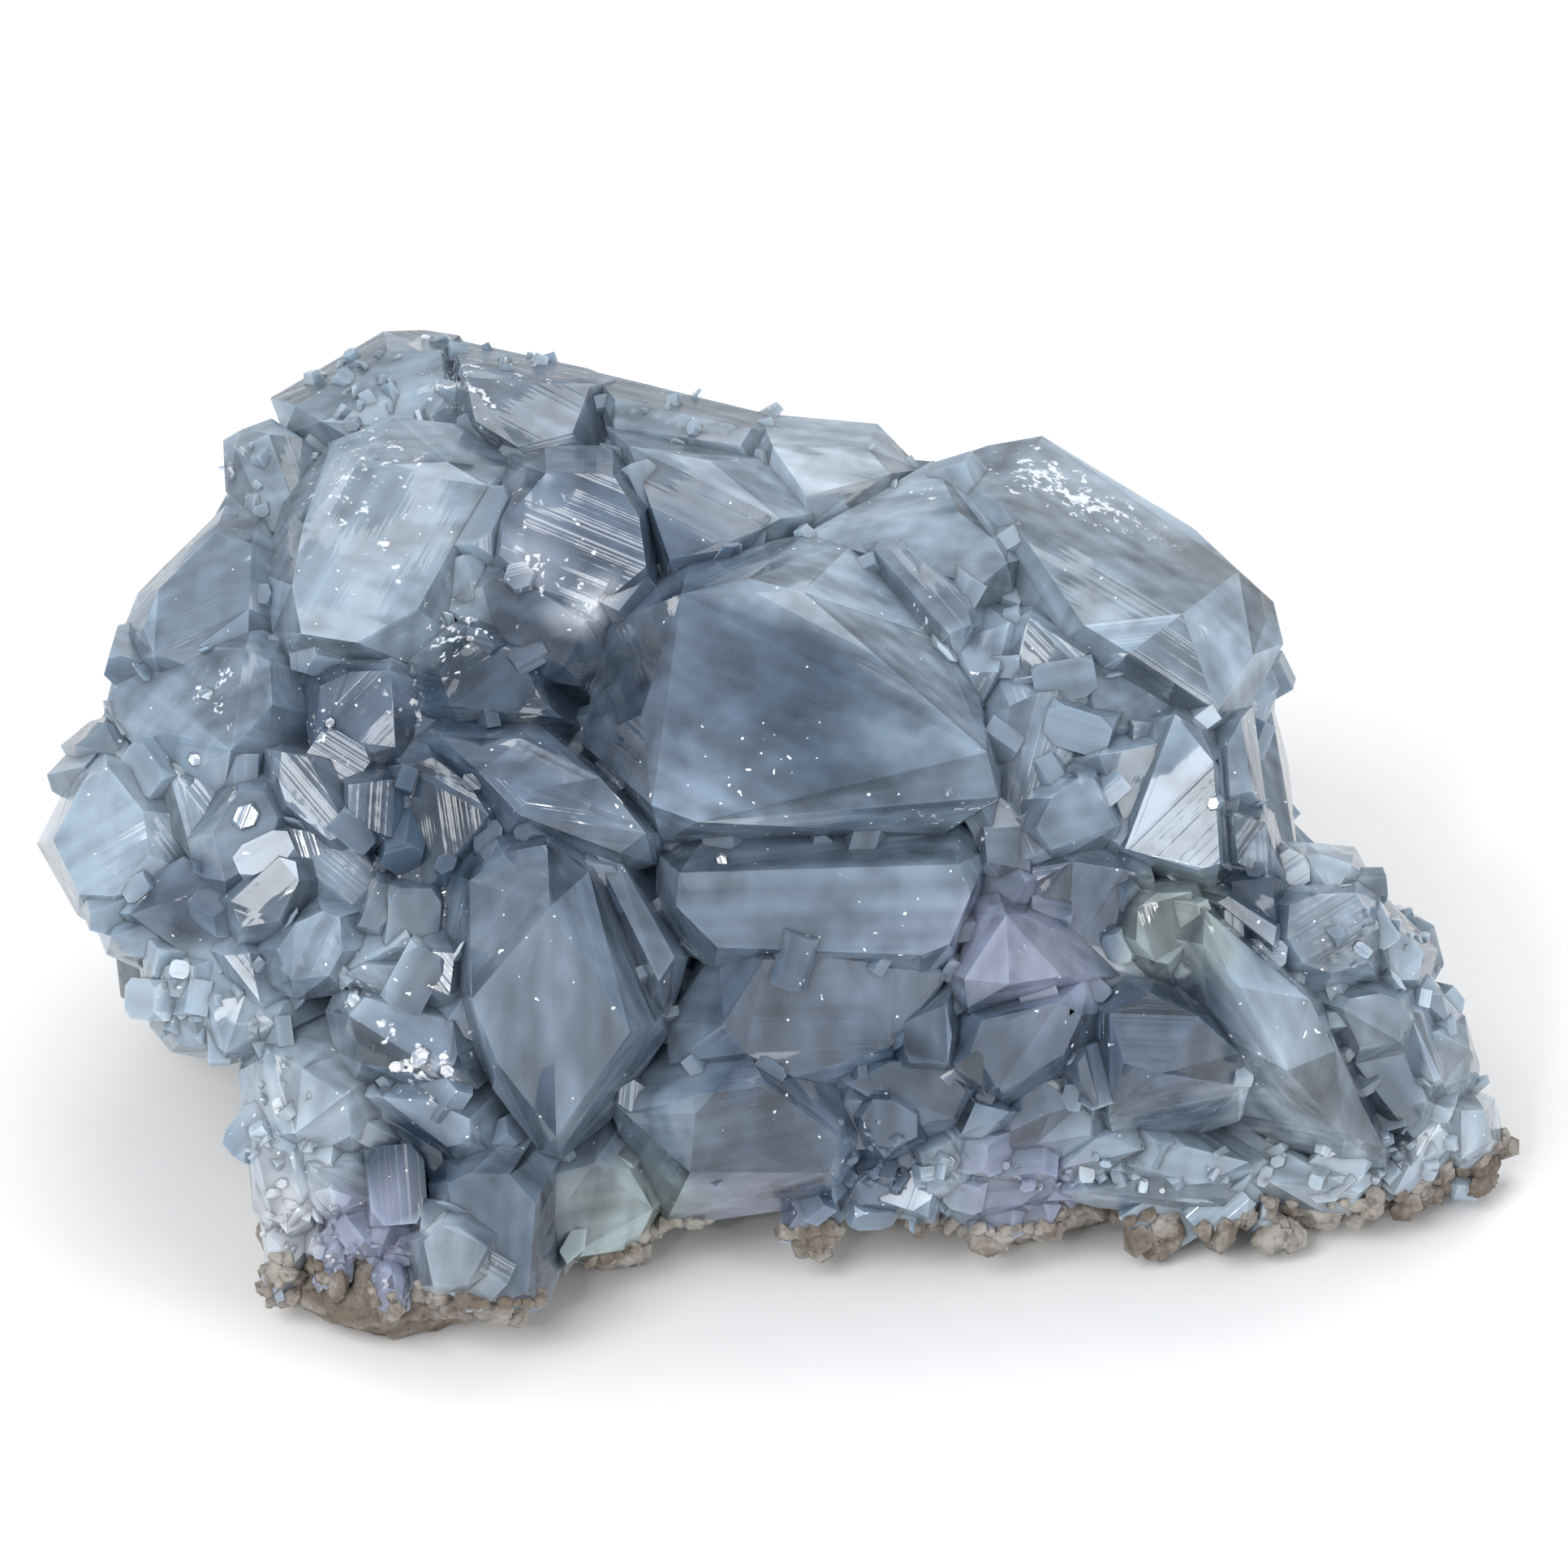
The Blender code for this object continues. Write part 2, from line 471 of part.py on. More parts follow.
        "right_wall_foot",
        edge=((37.2, 46.6), (40.4, 46), (41.4, 45.2), (42.2, 42.6), (43.1, 38.4), (41, 38), (37.6, 40)),
        face=((38, 45), (40.6, 44.4), (41.6, 41.6), (41, 40), (38.4, 41)),
        lift=3.4, edge_lift=-0.5,
    ),
    Crystal(
        "lavender_gusset",
        edge=((36.8, 40), (39, 41.6), (41.6, 40.6), (43.4, 38.4), (42.2, 35.4), (40, 36), (37, 38)),
        lift=3.4,
    ),
    Crystal(
        "navy_prism",
        edge=((34.8, 38.6), (37, 39.8), (40.4, 38), (42.6, 36.6), (42.6, 33.8), (41, 32.6), (37.6, 35.4)),
        face=((36.6, 37.8), (37.6, 38.4), (40.2, 36.9), (41.6, 35.8), (41.2, 34.4), (38.6, 36)),
        lift=5.0,
    ),
    Crystal(
        "pale_ledge",
        edge=((42.2, 42.2), (43.8, 42.8), (45.4, 42.3), (48, 42.5), (48.5, 41), (49.6, 39.4), (47, 37.6),
              (43, 37.6)),
        lift=2.6, edge_lift=-0.5,
    ),
    Crystal(
        "lumpy_block",
        edge=((41.2, 38.4), (44.3, 40), (48, 40), (50.2, 38.4), (50.8, 34), (50, 31), (45.2, 30.2),
              (42.6, 31.2), (41.2, 34.6)),
        face=((42.6, 37.6), (45, 38.6), (48, 38.4), (49.4, 36.4), (49.2, 33), (46, 32), (43.4, 33),
              (42.4, 35)),
        lift=5.4,
    ),
    Crystal(
        "right_shoulder",
        edge=((49, 39.9), (50.2, 38.7), (51.6, 37.3), (53, 36), (54.8, 34), (54.4, 32), (53.6, 29.6),
              (50, 30), (49.4, 35)),
        face=((50.4, 36.8), (51.6, 35.8), (53.6, 33.8), (53.2, 31.6), (51, 31.4), (50.2, 34)),
        lift=3.4, edge_lift=-0.5,
    ),
    Crystal(
        "right_corner",
        edge=((52, 30.6), (53.8, 32.4), (55.4, 30.6), (56.8, 28.6), (56.4, 27), (53, 27.6)),
        lift=2.4, edge_lift=-0.5,
    ),
    Crystal(
        "sky_block",
        edge=((45.4, 29.6), (46.6, 31), (50, 31.8), (53, 30.8), (54, 28.4), (52.6, 25.2), (48, 24.6),
              (46.2, 26.6)),
        face=((46.9, 29), (47.6, 30), (50, 30.4), (51.8, 29.8), (52.6, 28.2), (51.6, 26.4), (48.4, 26)),
        lift=5.2,
    ),
    Crystal(
        "shadow_pocket",
        edge=((47.4, 25.6), (50, 27), (52.6, 26.6), (54.4, 24), (55.2, 21), (53, 18.2), (50.6, 19.4),
              (49, 22)),
        lift=2.6,
    ),
    Crystal(
        "striped_prism",
        edge=((51.2, 30.2), (53.6, 30.2), (55.4, 26.8), (56, 24.8), (55.6, 21.8), (54, 21), (52, 26)),
        face=((52.6, 29), (53.4, 28.8), (54.6, 26), (55, 23.4), (54.3, 23), (52.9, 26.4)),
        lift=4.8,
    ),
    Crystal(
        "right_pale_block",
        edge=((53.6, 28.4), (57, 28.6), (57.9, 26.2), (58.3, 24.4), (58, 22.8), (56.4, 20.6), (54.6, 22),
              (54.4, 25)),
        lift=3.6, edge_lift=-0.5,
    ),
    Crystal(
        "right_end_block",
        edge=((55.4, 21.6), (57.4, 22.7), (59.5, 21.8), (60.2, 19.6), (60.5, 17.6), (58.5, 15.6),
              (56.6, 14.8), (54.8, 17)),
        face=((56.6, 20.8), (58.6, 20.8), (59.3, 18.4), (58, 16.8), (56.8, 16.8)),
        lift=4.8, edge_lift=-0.3,
    ),
    Crystal(
        "lavender_prism",
        edge=((49.8, 13.4), (51.4, 16.2), (54.8, 20.6), (56.6, 20.6), (57, 17.6), (54.6, 14), (52, 11.8)),
        face=((51.2, 14), (52.4, 16.2), (55, 19.4), (56, 18.6), (54.4, 15.6), (52.4, 13.4)),
        lift=4.4,
    ),
    Crystal(
        "base_wedge",
        edge=((36.6, 14.6), (40.8, 17.2), (46, 17.2), (51.4, 16.8), (51.2, 14.4), (49.2, 11.8),
              (47.2, 10.2), (45, 10.6), (42.6, 11.4), (39.6, 12.8)),
        ridge=((41.4, 15.2, 4.6), (46, 15.4, 6), (48.2, 14, 6.4), (47, 11, 4.6), (43.4, 12.2, 3.8),
               (50.4, 15.4, 4.4)),
        edge_lift=0.4,
    ),
    Crystal(
        "base_plate_a",
        edge=((22.6, 15.6), (24, 17.4), (26.6, 19.2), (30, 19.4), (32, 17.8), (29, 15.6), (25, 14.4)),
        lift=3.8,
    ),
    Crystal(
        "base_plate_b",
        edge=((27, 16), (29, 18), (34, 18.6), (38, 18), (41.4, 16.6), (40.6, 14.8), (36, 14.2), (30, 14.2)),
        lift=4.4,
    ),
    Crystal(
        "base_plate_c",
        edge=((22.8, 14.2), (25, 15.6), (31, 16), (37, 15.6), (41.4, 15.4), (42, 13.6), (39, 12.2),
              (33, 12), (27, 12.4)),
        lift=3.8,
    ),
    # The left flank
    Crystal(
        "great_left_block",
        edge=((-60.3, 42.7), (-58.9, 46.2), (-57, 49.1), (-54.8, 51), (-51.8, 50.2), (-49.8, 48),
              (-49.4, 44.6), (-47.2, 42), (-47.8, 40.2), (-50, 38.8), (-53, 36.6), (-55.4, 35.8),
              (-57, 36.8), (-59, 40.2)),
        face=((-59, 43), (-56.6, 47.8), (-54.4, 49), (-51.6, 45.4), (-51.2, 41.8), (-54.6, 38.4),
              (-56.8, 38.6)),
        lift=4.8, edge_lift=-0.4, root=22.0,
    ),
    Crystal(
        "left_spur",
        edge=((-58.3, 50.7), (-56, 52.8), (-54.6, 53.2), (-52, 52.4), (-52.6, 49.4), (-57, 48.4)),
        lift=2.4, edge_lift=-0.5,
    ),
    Crystal(
        "sparkling_block",
        edge=((-54, 57.4), (-53.3, 58.2), (-50, 59), (-42.6, 60.8), (-40.2, 59.4), (-39.6, 56.5),
              (-39.4, 53), (-42, 50.4), (-45, 46.4), (-49.4, 47.8), (-52, 50), (-54.6, 53.3),
              (-54.3, 55.8)),
        ridge=((-51.6, 57, 2.6), (-43, 58.8, 4.6), (-41.2, 57.6, 4.6), (-41, 54.4, 5.4), (-44.6, 50, 6),
               (-49.2, 50.6, 4), (-52.4, 53.6, 2)),
        root=22.0,
    ),
    Crystal(
        "mirror_facet",
        edge=((-48.4, 43), (-44.6, 49), (-41, 49), (-39.4, 46), (-39.2, 42), (-44.8, 37.2), (-47, 40)),
        face=((-45.8, 43.6), (-43.8, 47), (-41.6, 47), (-40.6, 44.8), (-41.2, 41.8), (-44.8, 39.6)),
        lift=4.6,
    ),
    Crystal(
        "left_shadow",
        edge=((-54.6, 37), (-51.5, 39.8), (-48.3, 41.6), (-44.6, 39.6), (-43.4, 35), (-45.4, 31.6),
              (-49.2, 33.6), (-51.6, 35)),
        lift=2.2,
    ),
    Crystal(
        "shadow_wall",
        edge=((-50.6, 50.4), (-47.6, 50.2), (-44.4, 47), (-44, 42), (-47.4, 41), (-50.2, 45)),
        lift=1.8,
    ),
    Crystal(
        "grey_plate",
        edge=((-42, 48), (-42, 50.6), (-40, 51.2), (-37, 50.8), (-35.8, 48), (-35, 44.4), (-33.2, 43.6),
              (-34.6, 41.6), (-36.4, 41.8), (-40.8, 45)),
        face=((-40.4, 47.8), (-40.2, 50), (-37.8, 49.8), (-36.6, 47.8), (-35.8, 44.4), (-34.8, 43.4),
              (-36.2, 43), (-39.8, 45.8)),
        lift=6.0,
    ),
    Crystal(
        "frosted_wall",
        edge=((-39, 58), (-35, 58.8), (-31, 59), (-29, 56), (-29, 52), (-29.6, 48.6), (-34.8, 47.8),
              (-37.8, 49.4), (-38.6, 53)),
        face=((-37.2, 55.6), (-34.6, 56.8), (-31.4, 57), (-30.6, 54), (-31, 50.6), (-34.6, 49.8),
              (-36.6, 51.4)),
        lift=3.8,
    ),
    Crystal(
        "clear_knob",
        edge=((-35.8, 48.4), (-32.2, 49.8), (-30.2, 49), (-29.2, 45), (-30.6, 42), (-33.2, 41.8),
              (-35.8, 44)),
        lift=5.2,
    ),
    Crystal(
        "grey_slab",
        edge=((-45.8, 38.2), (-40.4, 43.2), (-37.6, 42.4), (-37.2, 39.6), (-38.8, 35), (-44, 34)),
        face=((-44.4, 38), (-40.4, 41.6), (-39, 41.2), (-38.8, 39.6), (-40.4, 36.4), (-43.4, 35.8)),
        lift=5.4,
    ),
    Crystal(
        "frosted_knob",
        edge=((-42.4, 34), (-40.2, 37), (-37.4, 38.6), (-34.6, 38), (-33.8, 34), (-35, 30.4), (-39, 29.8),
              (-41.8, 31)),
        face=((-40.6, 34), (-39, 36.2), (-36.8, 37.2), (-35.4, 36.6), (-35.2, 33.8), (-36.4, 31.8),
              (-39.4, 31.6)),
        lift=6.0,
    ),
    Crystal(
        "grey_wedge",
        edge=((-41, 45), (-36.6, 44), (-33, 43.6), (-32.2, 40), (-33.6, 36), (-37.6, 37), (-40, 41.4)),
        lift=3.0,
    ),
    Crystal(
        "pale_wedge",
        edge=((-35, 35), (-32.4, 41), (-30.6, 40.6), (-30.6, 36), (-31.6, 34.6)),
        face=((-34, 36), (-32.3, 39.4), (-31.5, 39.2), (-31.6, 36.4), (-32.3, 35.6)),
        lift=5.0,
    ),
    Crystal(
        "left_splinters",
        edge=((-46, 34), (-44.6, 36), (-42.6, 34.4), (-39.8, 30), (-41.4, 28.6), (-44, 30.2)),
        lift=3.4,
    ),
    Crystal(
        "low_left_block",
        edge=((-47.6, 30.2), (-46, 32.4), (-43, 31), (-40, 29.6), (-39.4, 27.6), (-41.4, 25.4),
              (-45, 24.4), (-47.6, 27)),
        lift=3.2,
    ),
    Crystal(
        "scallop_top",
        edge=((-55.3, 35.4), (-53.6, 37.4), (-50.6, 37), (-48.2, 35.4), (-48.6, 32.6), (-51, 32),
              (-53, 32.9), (-54.6, 33.6)),
        lift=2.8, edge_lift=-0.4,
    ),
    Crystal(
        "scallop_middle",
        edge=((-51.9, 33.2), (-49, 34.6), (-46.6, 33.4), (-45.6, 31.2), (-46.6, 29.2), (-49.4, 28.6),
              (-51.6, 29.8), (-51.8, 31.4)),
        lift=3.4, edge_lift=-0.4,
    ),
    Crystal(
        "scallop_low",
        edge=((-51.6, 30.2), (-48.6, 31.2), (-46, 30), (-44.4, 26.6), (-44.4, 24.6), (-46.8, 24.8),
              (-49.2, 25.6), (-51.1, 27.6)),
        lift=3.0, edge_lift=-0.4,
    ),
    Crystal(
        "pale_bar",
        edge=((-36.4, 32.2), (-33.6, 34), (-28.6, 33.4), (-27.4, 30), (-31, 28.8), (-34.4, 30.4)),
        face=((-34.8, 32), (-33, 32.9), (-29.6, 32.5), (-28.8, 30.4), (-31, 30.2), (-33.8, 31.3)),
        lift=5.0,
    ),
    Crystal(
        "sky_chip",
        edge=((-30.2, 34.8), (-27.2, 36), (-25.2, 34.4), (-25, 30.8), (-26, 29.2), (-28.4, 28.6),
              (-29.8, 31)),
        lift=5.4,
    ),
    Crystal(
        "gap_wall",
        edge=((-34, 37), (-31.6, 39.4), (-27, 40), (-25, 37), (-25.4, 34), (-29, 33), (-33.6, 33.4)),
        lift=1.8,
    ),
    Crystal(
        "broken_block",
        edge=((-36.6, 29), (-35.6, 31), (-32, 31.8), (-28, 30.6), (-25, 29.6), (-24, 26), (-24, 22.6),
              (-27, 21.6), (-31, 22), (-34.4, 22.6), (-36, 25.6)),
        face=((-34.6, 28.6), (-33.4, 29.8), (-29, 28.8), (-26.4, 28), (-25.6, 25.4), (-26.4, 23.6),
              (-31, 24), (-33.8, 24.4)),
        lift=4.2,
    ),
    Crystal(
        "broken_ledge",
        edge=((-34.4, 22), (-33, 23.6), (-27, 23), (-23.4, 21), (-23, 17.4), (-25.4, 16.2), (-28, 17.2),
              (-31, 20.2)),
        face=((-32, 22), (-27.4, 21.4), (-24.8, 20), (-24.6, 18.2), (-26.6, 17.8), (-29.4, 20.2)),
        lift=4.0,
    ),
    # The left leg
    Crystal(
        "pale_column_top",
        edge=((-43.8, 24), (-42.4, 27), (-40, 27.8), (-36.2, 24.4), (-33, 23.4), (-32.8, 19.6),
              (-32.2, 17.8), (-34.4, 16.8), (-38.5, 16.6), (-43.2, 18.6)),
        ridge=((-41, 25.4, 4.4), (-38.4, 24.4, 5.4), (-35.2, 21.8, 5.4), (-34.4, 18.6, 5.2), (-39, 19, 6),
               (-42, 21, 3)),
        edge_lift=0.4,
    ),
    Crystal(
        "pale_column_middle",
        edge=((-43.4, 20), (-41, 20.6), (-39, 18.4), (-38.2, 16), (-37.8, 13), (-39, 11), (-41.2, 10.4),
              (-42.5, 12.4), (-43.2, 15)),
        lift=4.6,
    ),
    Crystal(
        "pale_column_foot",
        edge=((-42, 11.8), (-39.2, 11.6), (-38.4, 8.4), (-39.2, 5.4), (-41, 4.6), (-41.6, 7)),
        lift=3.4,
    ),
    Crystal(
        "leg_shadow",
        edge=((-39.2, 17), (-37, 18), (-34, 17.4), (-31.4, 15.6), (-30.4, 13.6), (-32, 12), (-35.4, 11.4),
              (-38.4, 12.6)),
        lift=3.0,
    ),
    Crystal(
        "cavity_wall",
        edge=((-33, 20), (-30.4, 21.8), (-27.4, 19), (-26.6, 15), (-28.4, 11), (-31.4, 11), (-32.6, 15)),
        lift=0.4,
    ),
)

# Small crystals of the druse on the left leg and the lower edge: across, up, size
DRUSE = (
    (-37.6, 10.8, 4.2), (-34.2, 11.6, 4.6), (-31.4, 12.0, 3.8), (-35.8, 8.6, 4.4), (-32.6, 9.4, 4.6),
    (-38.0, 7.6, 4.0), (-30.2, 8.4, 4.2), (-33.8, 6.8, 4.0), (-30.8, 6.6, 4.2), (-28.2, 6.0, 4.0),
    (-36.4, 5.8, 3.8), (-25.6, 4.0, 3.6), (-39.2, 5.6, 3.2),
    (1.6, 13.4, 3.4), (4.4, 13.0, 3.4), (8.6, 12.8, 3.4), (12.2, 12.6, 3.6), (15.0, 12.8, 3.4),
    (18.6, 11.6, 3.6), (22.4, 11.8, 4.0), (25.6, 12.4, 3.8), (29.2, 12.8, 3.8), (32.6, 12.6, 3.8),
    (36.2, 12.8, 3.8), (39.6, 12.2, 3.8), (42.6, 11.8, 3.4), (50.6, 14.2, 3.8), (53.6, 13.2, 3.8),
    (56.0, 14.6, 3.4),
)

# Small solids that fill sealed pockets between crystals: centre (across, depth, height) and radii
PLUGS = (
    ((-31.2, 1.0, 6.9), (1.8, 2.4, 2.4)),
    ((-35.3, 5.6, 10.0), (1.2, 1.2, 1.2)),
    ((-38.6, 27.7, 25.1), (2.0, 2.0, 2.0)),
    ((31.0, 40.7, 45.2), (2.0, 2.0, 2.0)),
)

# Rings of crystals round the back and over the top: height angle, count, length, width
BACK_RINGS = (
    (-22.0, 13, 18.0, 15.0),
    (4.0, 12, 22.0, 17.0),
    (28.0, 10, 23.0, 18.0),
    (52.0, 8, 23.0, 18.0),
    (74.0, 5, 22.0, 18.0),
)
# Crystals just behind the crest: across, drop below it in the front view, distance behind, size
CREST = (
    (-43, 4, 8, 11), (-35, 4, 9, 13), (-26, 3, 9, 14), (-16, 4, 10, 13), (-7, 3, 9, 14), (3, 3, 10, 12),
    (12, 4, 9, 13), (20, 3, 8, 14), (28, 3, 9, 13), (36, 4, 8, 12), (-30, 7, 20, 15), (-12, 6, 21, 15),
    (6, 6, 20, 15), (24, 7, 20, 15),
)
# Crystals on the sides of the leg and low on the flanks: across, depth, height, size
SIDES = (
    (-42, 17, 13, 10), (-42.5, 27, 12, 11), (-43.5, 38, 12, 11), (-43, 24, 22, 11), (-45, 35, 23, 12),
    (-47, 46, 21, 12), (-46, 50, 11, 10), (-49, 40, 31, 12), (54, 36, 12, 11), (55, 30, 22, 10),
)
BACK_ARC = (math.radians(-14), math.radians(194))
BACK_RADII = (54.0, 38.0, 36.0)


def lerp_table(table, at):
    """The value at a place in a table of (place, value) pairs, straight between them."""
    if at <= table[0][0]:
        return table[0][1]
    for (a, low), (b, high) in zip(table, table[1:]):
        if at <= b:
            return low + (high - low) * (at - a) / (b - a)
    return table[-1][1]


def smooth_step(low, high, at):
    share = min(1.0, max(0.0, (at - low) / (high - low)))
    return share * share * (3 - 2 * share)


def placed(across, depth, height):
    """The place of a point given by its distance across, back from the front edge, and up, in mm."""
    return Vector((across + ACROSS_SHIFT, FRONT_EDGE + depth, height))


def mound(across, up):
    """How far the mound's surface stands out towards the viewer, in mm."""
    side = min(0.96, (across / SIDE_HALF_WIDTH) ** 2)
    body = smooth_step(*LEG_EDGE, across)
    out = lerp_table(BODY_PROFILE, up) * body + lerp_table(LEG_PROFILE, up) * (1 - body)
    return out - SIDE_FALL * (1 - math.sqrt(1 - side))


def seen(across, up, out):
    """The place in space, in mm, of a point that is seen at (across, up) and stands out that far."""
    nearer = 1 - out / EYE_DISTANCE
    across = VIEW_CENTRE[0] + (across - VIEW_CENTRE[0]) * nearer
    up = VIEW_CENTRE[1] + (up - VIEW_CENTRE[1]) * nearer
    sine, cosine = math.sin(VIEW_TILT), math.cos(VIEW_TILT)
    depth = up * sine - out * cosine
    return Vector((across + ACROSS_SHIFT, FRONT_EDGE + depth, up * cosine + out * sine))


def view_of(point):
    """Where a point in space, in mm, is seen, and how far it stands out: (across, up, out)."""
    sine, cosine = math.sin(VIEW_TILT), math.cos(VIEW_TILT)
    depth = point.y - FRONT_EDGE
    out = point.z * sine - depth * cosine
    nearer = 1 - out / EYE_DISTANCE
    up = point.z * cosine + depth * sine
    return (
        VIEW_CENTRE[0] + (point.x - ACROSS_SHIFT - VIEW_CENTRE[0]) / nearer,
        VIEW_CENTRE[1] + (up - VIEW_CENTRE[1]) / nearer,
        out,
    )


def mean(points):
    return tuple(sum(values) / len(points) for values in zip(*points))


def front_corners(crystal):
    """The corners in space of one front crystal: its edge, its flat face, its ridge and its root."""
    centre = mean(crystal.edge)
    corners = [seen(a, u, mound(a, u) + crystal.edge_lift) for a, u in crystal.edge]
    face = crystal.face
    if not face and not crystal.ridge:
        face = tuple(
            (centre[0] + (a - centre[0]) * crystal.shrink, centre[1] + (u - centre[1]) * crystal.shrink)
            for a, u in crystal.edge[::2]
        )
    if face:
        corners += flat_face(crystal, face)
    corners += [seen(a, u, mound(a, u) + lift) for a, u, lift in crystal.ridge]
    middle = seen(*centre, mound(*centre))
    inward = (HEART - middle).normalized() * crystal.root
    edge = [seen(a, u, mound(a, u)) for a, u in crystal.edge]
    corners += [middle + (corner - middle) * ROOT_WIDTH + inward for corner in edge]
    return corners


def flat_face(crystal, face):
    """The corners of a flat front face that follows the mound's slope, turned a little its own way."""
    rng = random.Random(crystal.name)
    a0, u0 = mean(face)
    step = 4.0
    slope_a = (mound(a0 + step, u0) - mound(a0 - step, u0)) / (2 * step) * 0.7 + rng.uniform(-FACE_TURN, FACE_TURN)
    slope_u = (mound(a0, u0 + step) - mound(a0, u0 - step)) / (2 * step) * 0.7 + rng.uniform(-FACE_TURN, FACE_TURN)
    out = mound(a0, u0) + crystal.lift
    return [seen(a, u, out + slope_a * (a - a0) + slope_u * (u - u0)) for a, u in face]


def frame_along(direction, twist):
    """A turned set of axes whose Z runs along direction."""
    turn = direction.to_track_quat("Z", "Y").to_matrix()
    return turn @ Matrix.Rotation(twist, 3, "Z")


def habit_corners(base, direction, length, width, thickness, twist):
    """The corners of a free-grown crystal: a flattened six-sided prism with a chisel end."""
    axes = frame_along(direction, twist)
    half_w, half_t = width / 2, thickness / 2
    flat = half_w - half_t * 0.78
    ring = ((half_w, 0), (flat, half_t), (-flat, half_t), (-half_w, 0), (-flat, -half_t), (flat, -half_t))
    corners = [axes @ Vector((x * 0.8, y * 0.8, 0)) for x, y in ring]
    for x, y in ring:
        drop = width * 0.3 if y == 0 else thickness * 0.34
        corners.append(axes @ Vector((x, y, length - drop)))
    corners += [axes @ Vector((side * half_w * 0.42, 0.12 * half_t, length)) for side in (-1, 1)]
    return [base + corner for corner in corners]


def hidden(point):
    """Whether a point is behind the front crystals in the front view."""
    across, up, out = view_of(point)
    inside = abs(across) < SIDE_LIMIT and up < lerp_table(SKYLINE, across) - SKYLINE_MARGIN
    return inside and out < mound(across, up) - BEHIND


def tucked(corners, inward):
    """The corners, moved inward until every one is hidden in the front view."""
    for _ in range(60):
        if all(hidden(corner) for corner in corners):
            break
        corners = [corner + inward * 0.6 for corner in corners]
    return corners


def back_corners():
    """The corners of each crystal round the back and over the top."""
    rng = random.Random(7)
    for height, count, length, width in BACK_RINGS:
        rise = math.radians(height)
        for index in range(count):
            turn = BACK_ARC[0] + (BACK_ARC[1] - BACK_ARC[0]) * (index + rng.uniform(0.25, 0.75)) / count
            way = Vector((math.cos(turn) * math.cos(rise), math.sin(turn) * math.cos(rise), math.sin(rise)))
            tip = HEART + Vector(a * b for a, b in zip(way, BACK_RADII))
            lean = Vector(rng.uniform(-0.42, 0.42) for _ in range(3))
            direction = (way + lean).normalized()
            size = rng.uniform(0.8, 1.25)
            reach = length * size
            corners = habit_corners(
                tip - direction * reach * 0.72,
                direction,
                reach,
                width * size,
                width * size * rng.uniform(0.5, 0.85),
                rng.uniform(0, math.pi),
            )
            yield tucked(corners, (HEART - tip).normalized())
    for across, drop, behind, size in CREST:
        up = lerp_table(SKYLINE, across) - drop
        tip = seen(across, up, mound(across, up) - behind)
        lean = Vector(rng.uniform(-0.4, 0.4) for _ in range(3))
        direction = (Vector((across * 0.008, 0.6, 0.7)) + lean).normalized()
        corners = habit_corners(
            tip - direction * size * 1.1, direction, size * 1.2, size, size * rng.uniform(0.55, 0.85),
            rng.uniform(0, math.pi),
        )
        yield tucked(corners, Vector((0, 0.2, -0.98)))
    for across, depth, height, size in SIDES:
        tip = placed(across, depth, height)
        lean = Vector(rng.uniform(-0.3, 0.3) for _ in range(3))
        direction = (Vector((math.copysign(1, across), 0, 0.1)) + lean).normalized()
        yield habit_corners(
            tip - direction * size * 1.5, direction, size * 1.6, size, size * rng.uniform(0.6, 0.9),
            rng.uniform(0, math.pi),
        )


def druse_corners():
    """The corners of each small crystal of the druse, leaning its own way out of the mound."""
    rng = random.Random(21)
    for across, up, size in DRUSE:
        base = seen(across, up, mound(across, up) - size * 1.1)
        out = seen(across, up, mound(across, up) + 10) - base
        lean = Vector(rng.uniform(-5, 5) for _ in range(3)) + Vector((0, 0, 3))
        direction = (out + lean).normalized()
        yield habit_corners(base, direction, size * 2.1, size * 1.15, size * 0.8, rng.uniform(0, math.pi))


def make_object(name, mesh_data, collection, hidden=False):
    """A new object of this bmesh, which is freed."""
    mesh = bpy.data.meshes.new(name)
    mesh_data.to_mesh(mesh)
    mesh_data.free()
    new = bpy.data.objects.new(name, mesh)
    collection.objects.link(new)
    if hidden:
        new.hide_render = True
        new.display_type = "WIRE"
    return new


def hull_mesh(corners, same_face):
    """The convex solid round these corners, with faces that turn less than same_face made one."""
    solid = bmesh.new()
    for corner in corners:
        solid.verts.new(corner)
    made = bmesh.ops.convex_hull(solid, input=solid.verts)
    spare = dict.fromkeys(made["geom_interior"] + made["geom_unused"])
    bmesh.ops.delete(solid, geom=[item for item in spare if isinstance(item, bmesh.types.BMVert)], context="VERTS")
    bmesh.ops.dissolve_limit(solid, angle_limit=same_face, verts=solid.verts, edges=solid.edges)
    bmesh.ops.recalc_face_normals(solid, faces=solid.faces)
    return solid


def crystal_mesh(corners):
    """The flat-faced solid of one crystal: faces that nearly agree are made one and pressed flat."""
    rough = hull_mesh([corner * MM for corner in corners], SAME_FACE)
    bmesh.ops.planar_faces(rough, faces=rough.faces, iterations=60, factor=0.9)
    flattened = [vert.co.copy() for vert in rough.verts]
    rough.free()
    return hull_mesh(flattened, math.radians(1))


def core_mesh(centre, radii):
    """One ellipsoid of the grown-together mass, which the crystals' roots run into."""
    across, depth, height = centre
    solid = bmesh.new()
    bmesh.ops.create_icosphere(solid, subdivisions=2, radius=1.0)
    bmesh.ops.scale(solid, vec=Vector(radii) * MM, verts=solid.verts)
    bmesh.ops.translate(solid, vec=placed(across, depth, height) * MM, verts=solid.verts)
    return solid


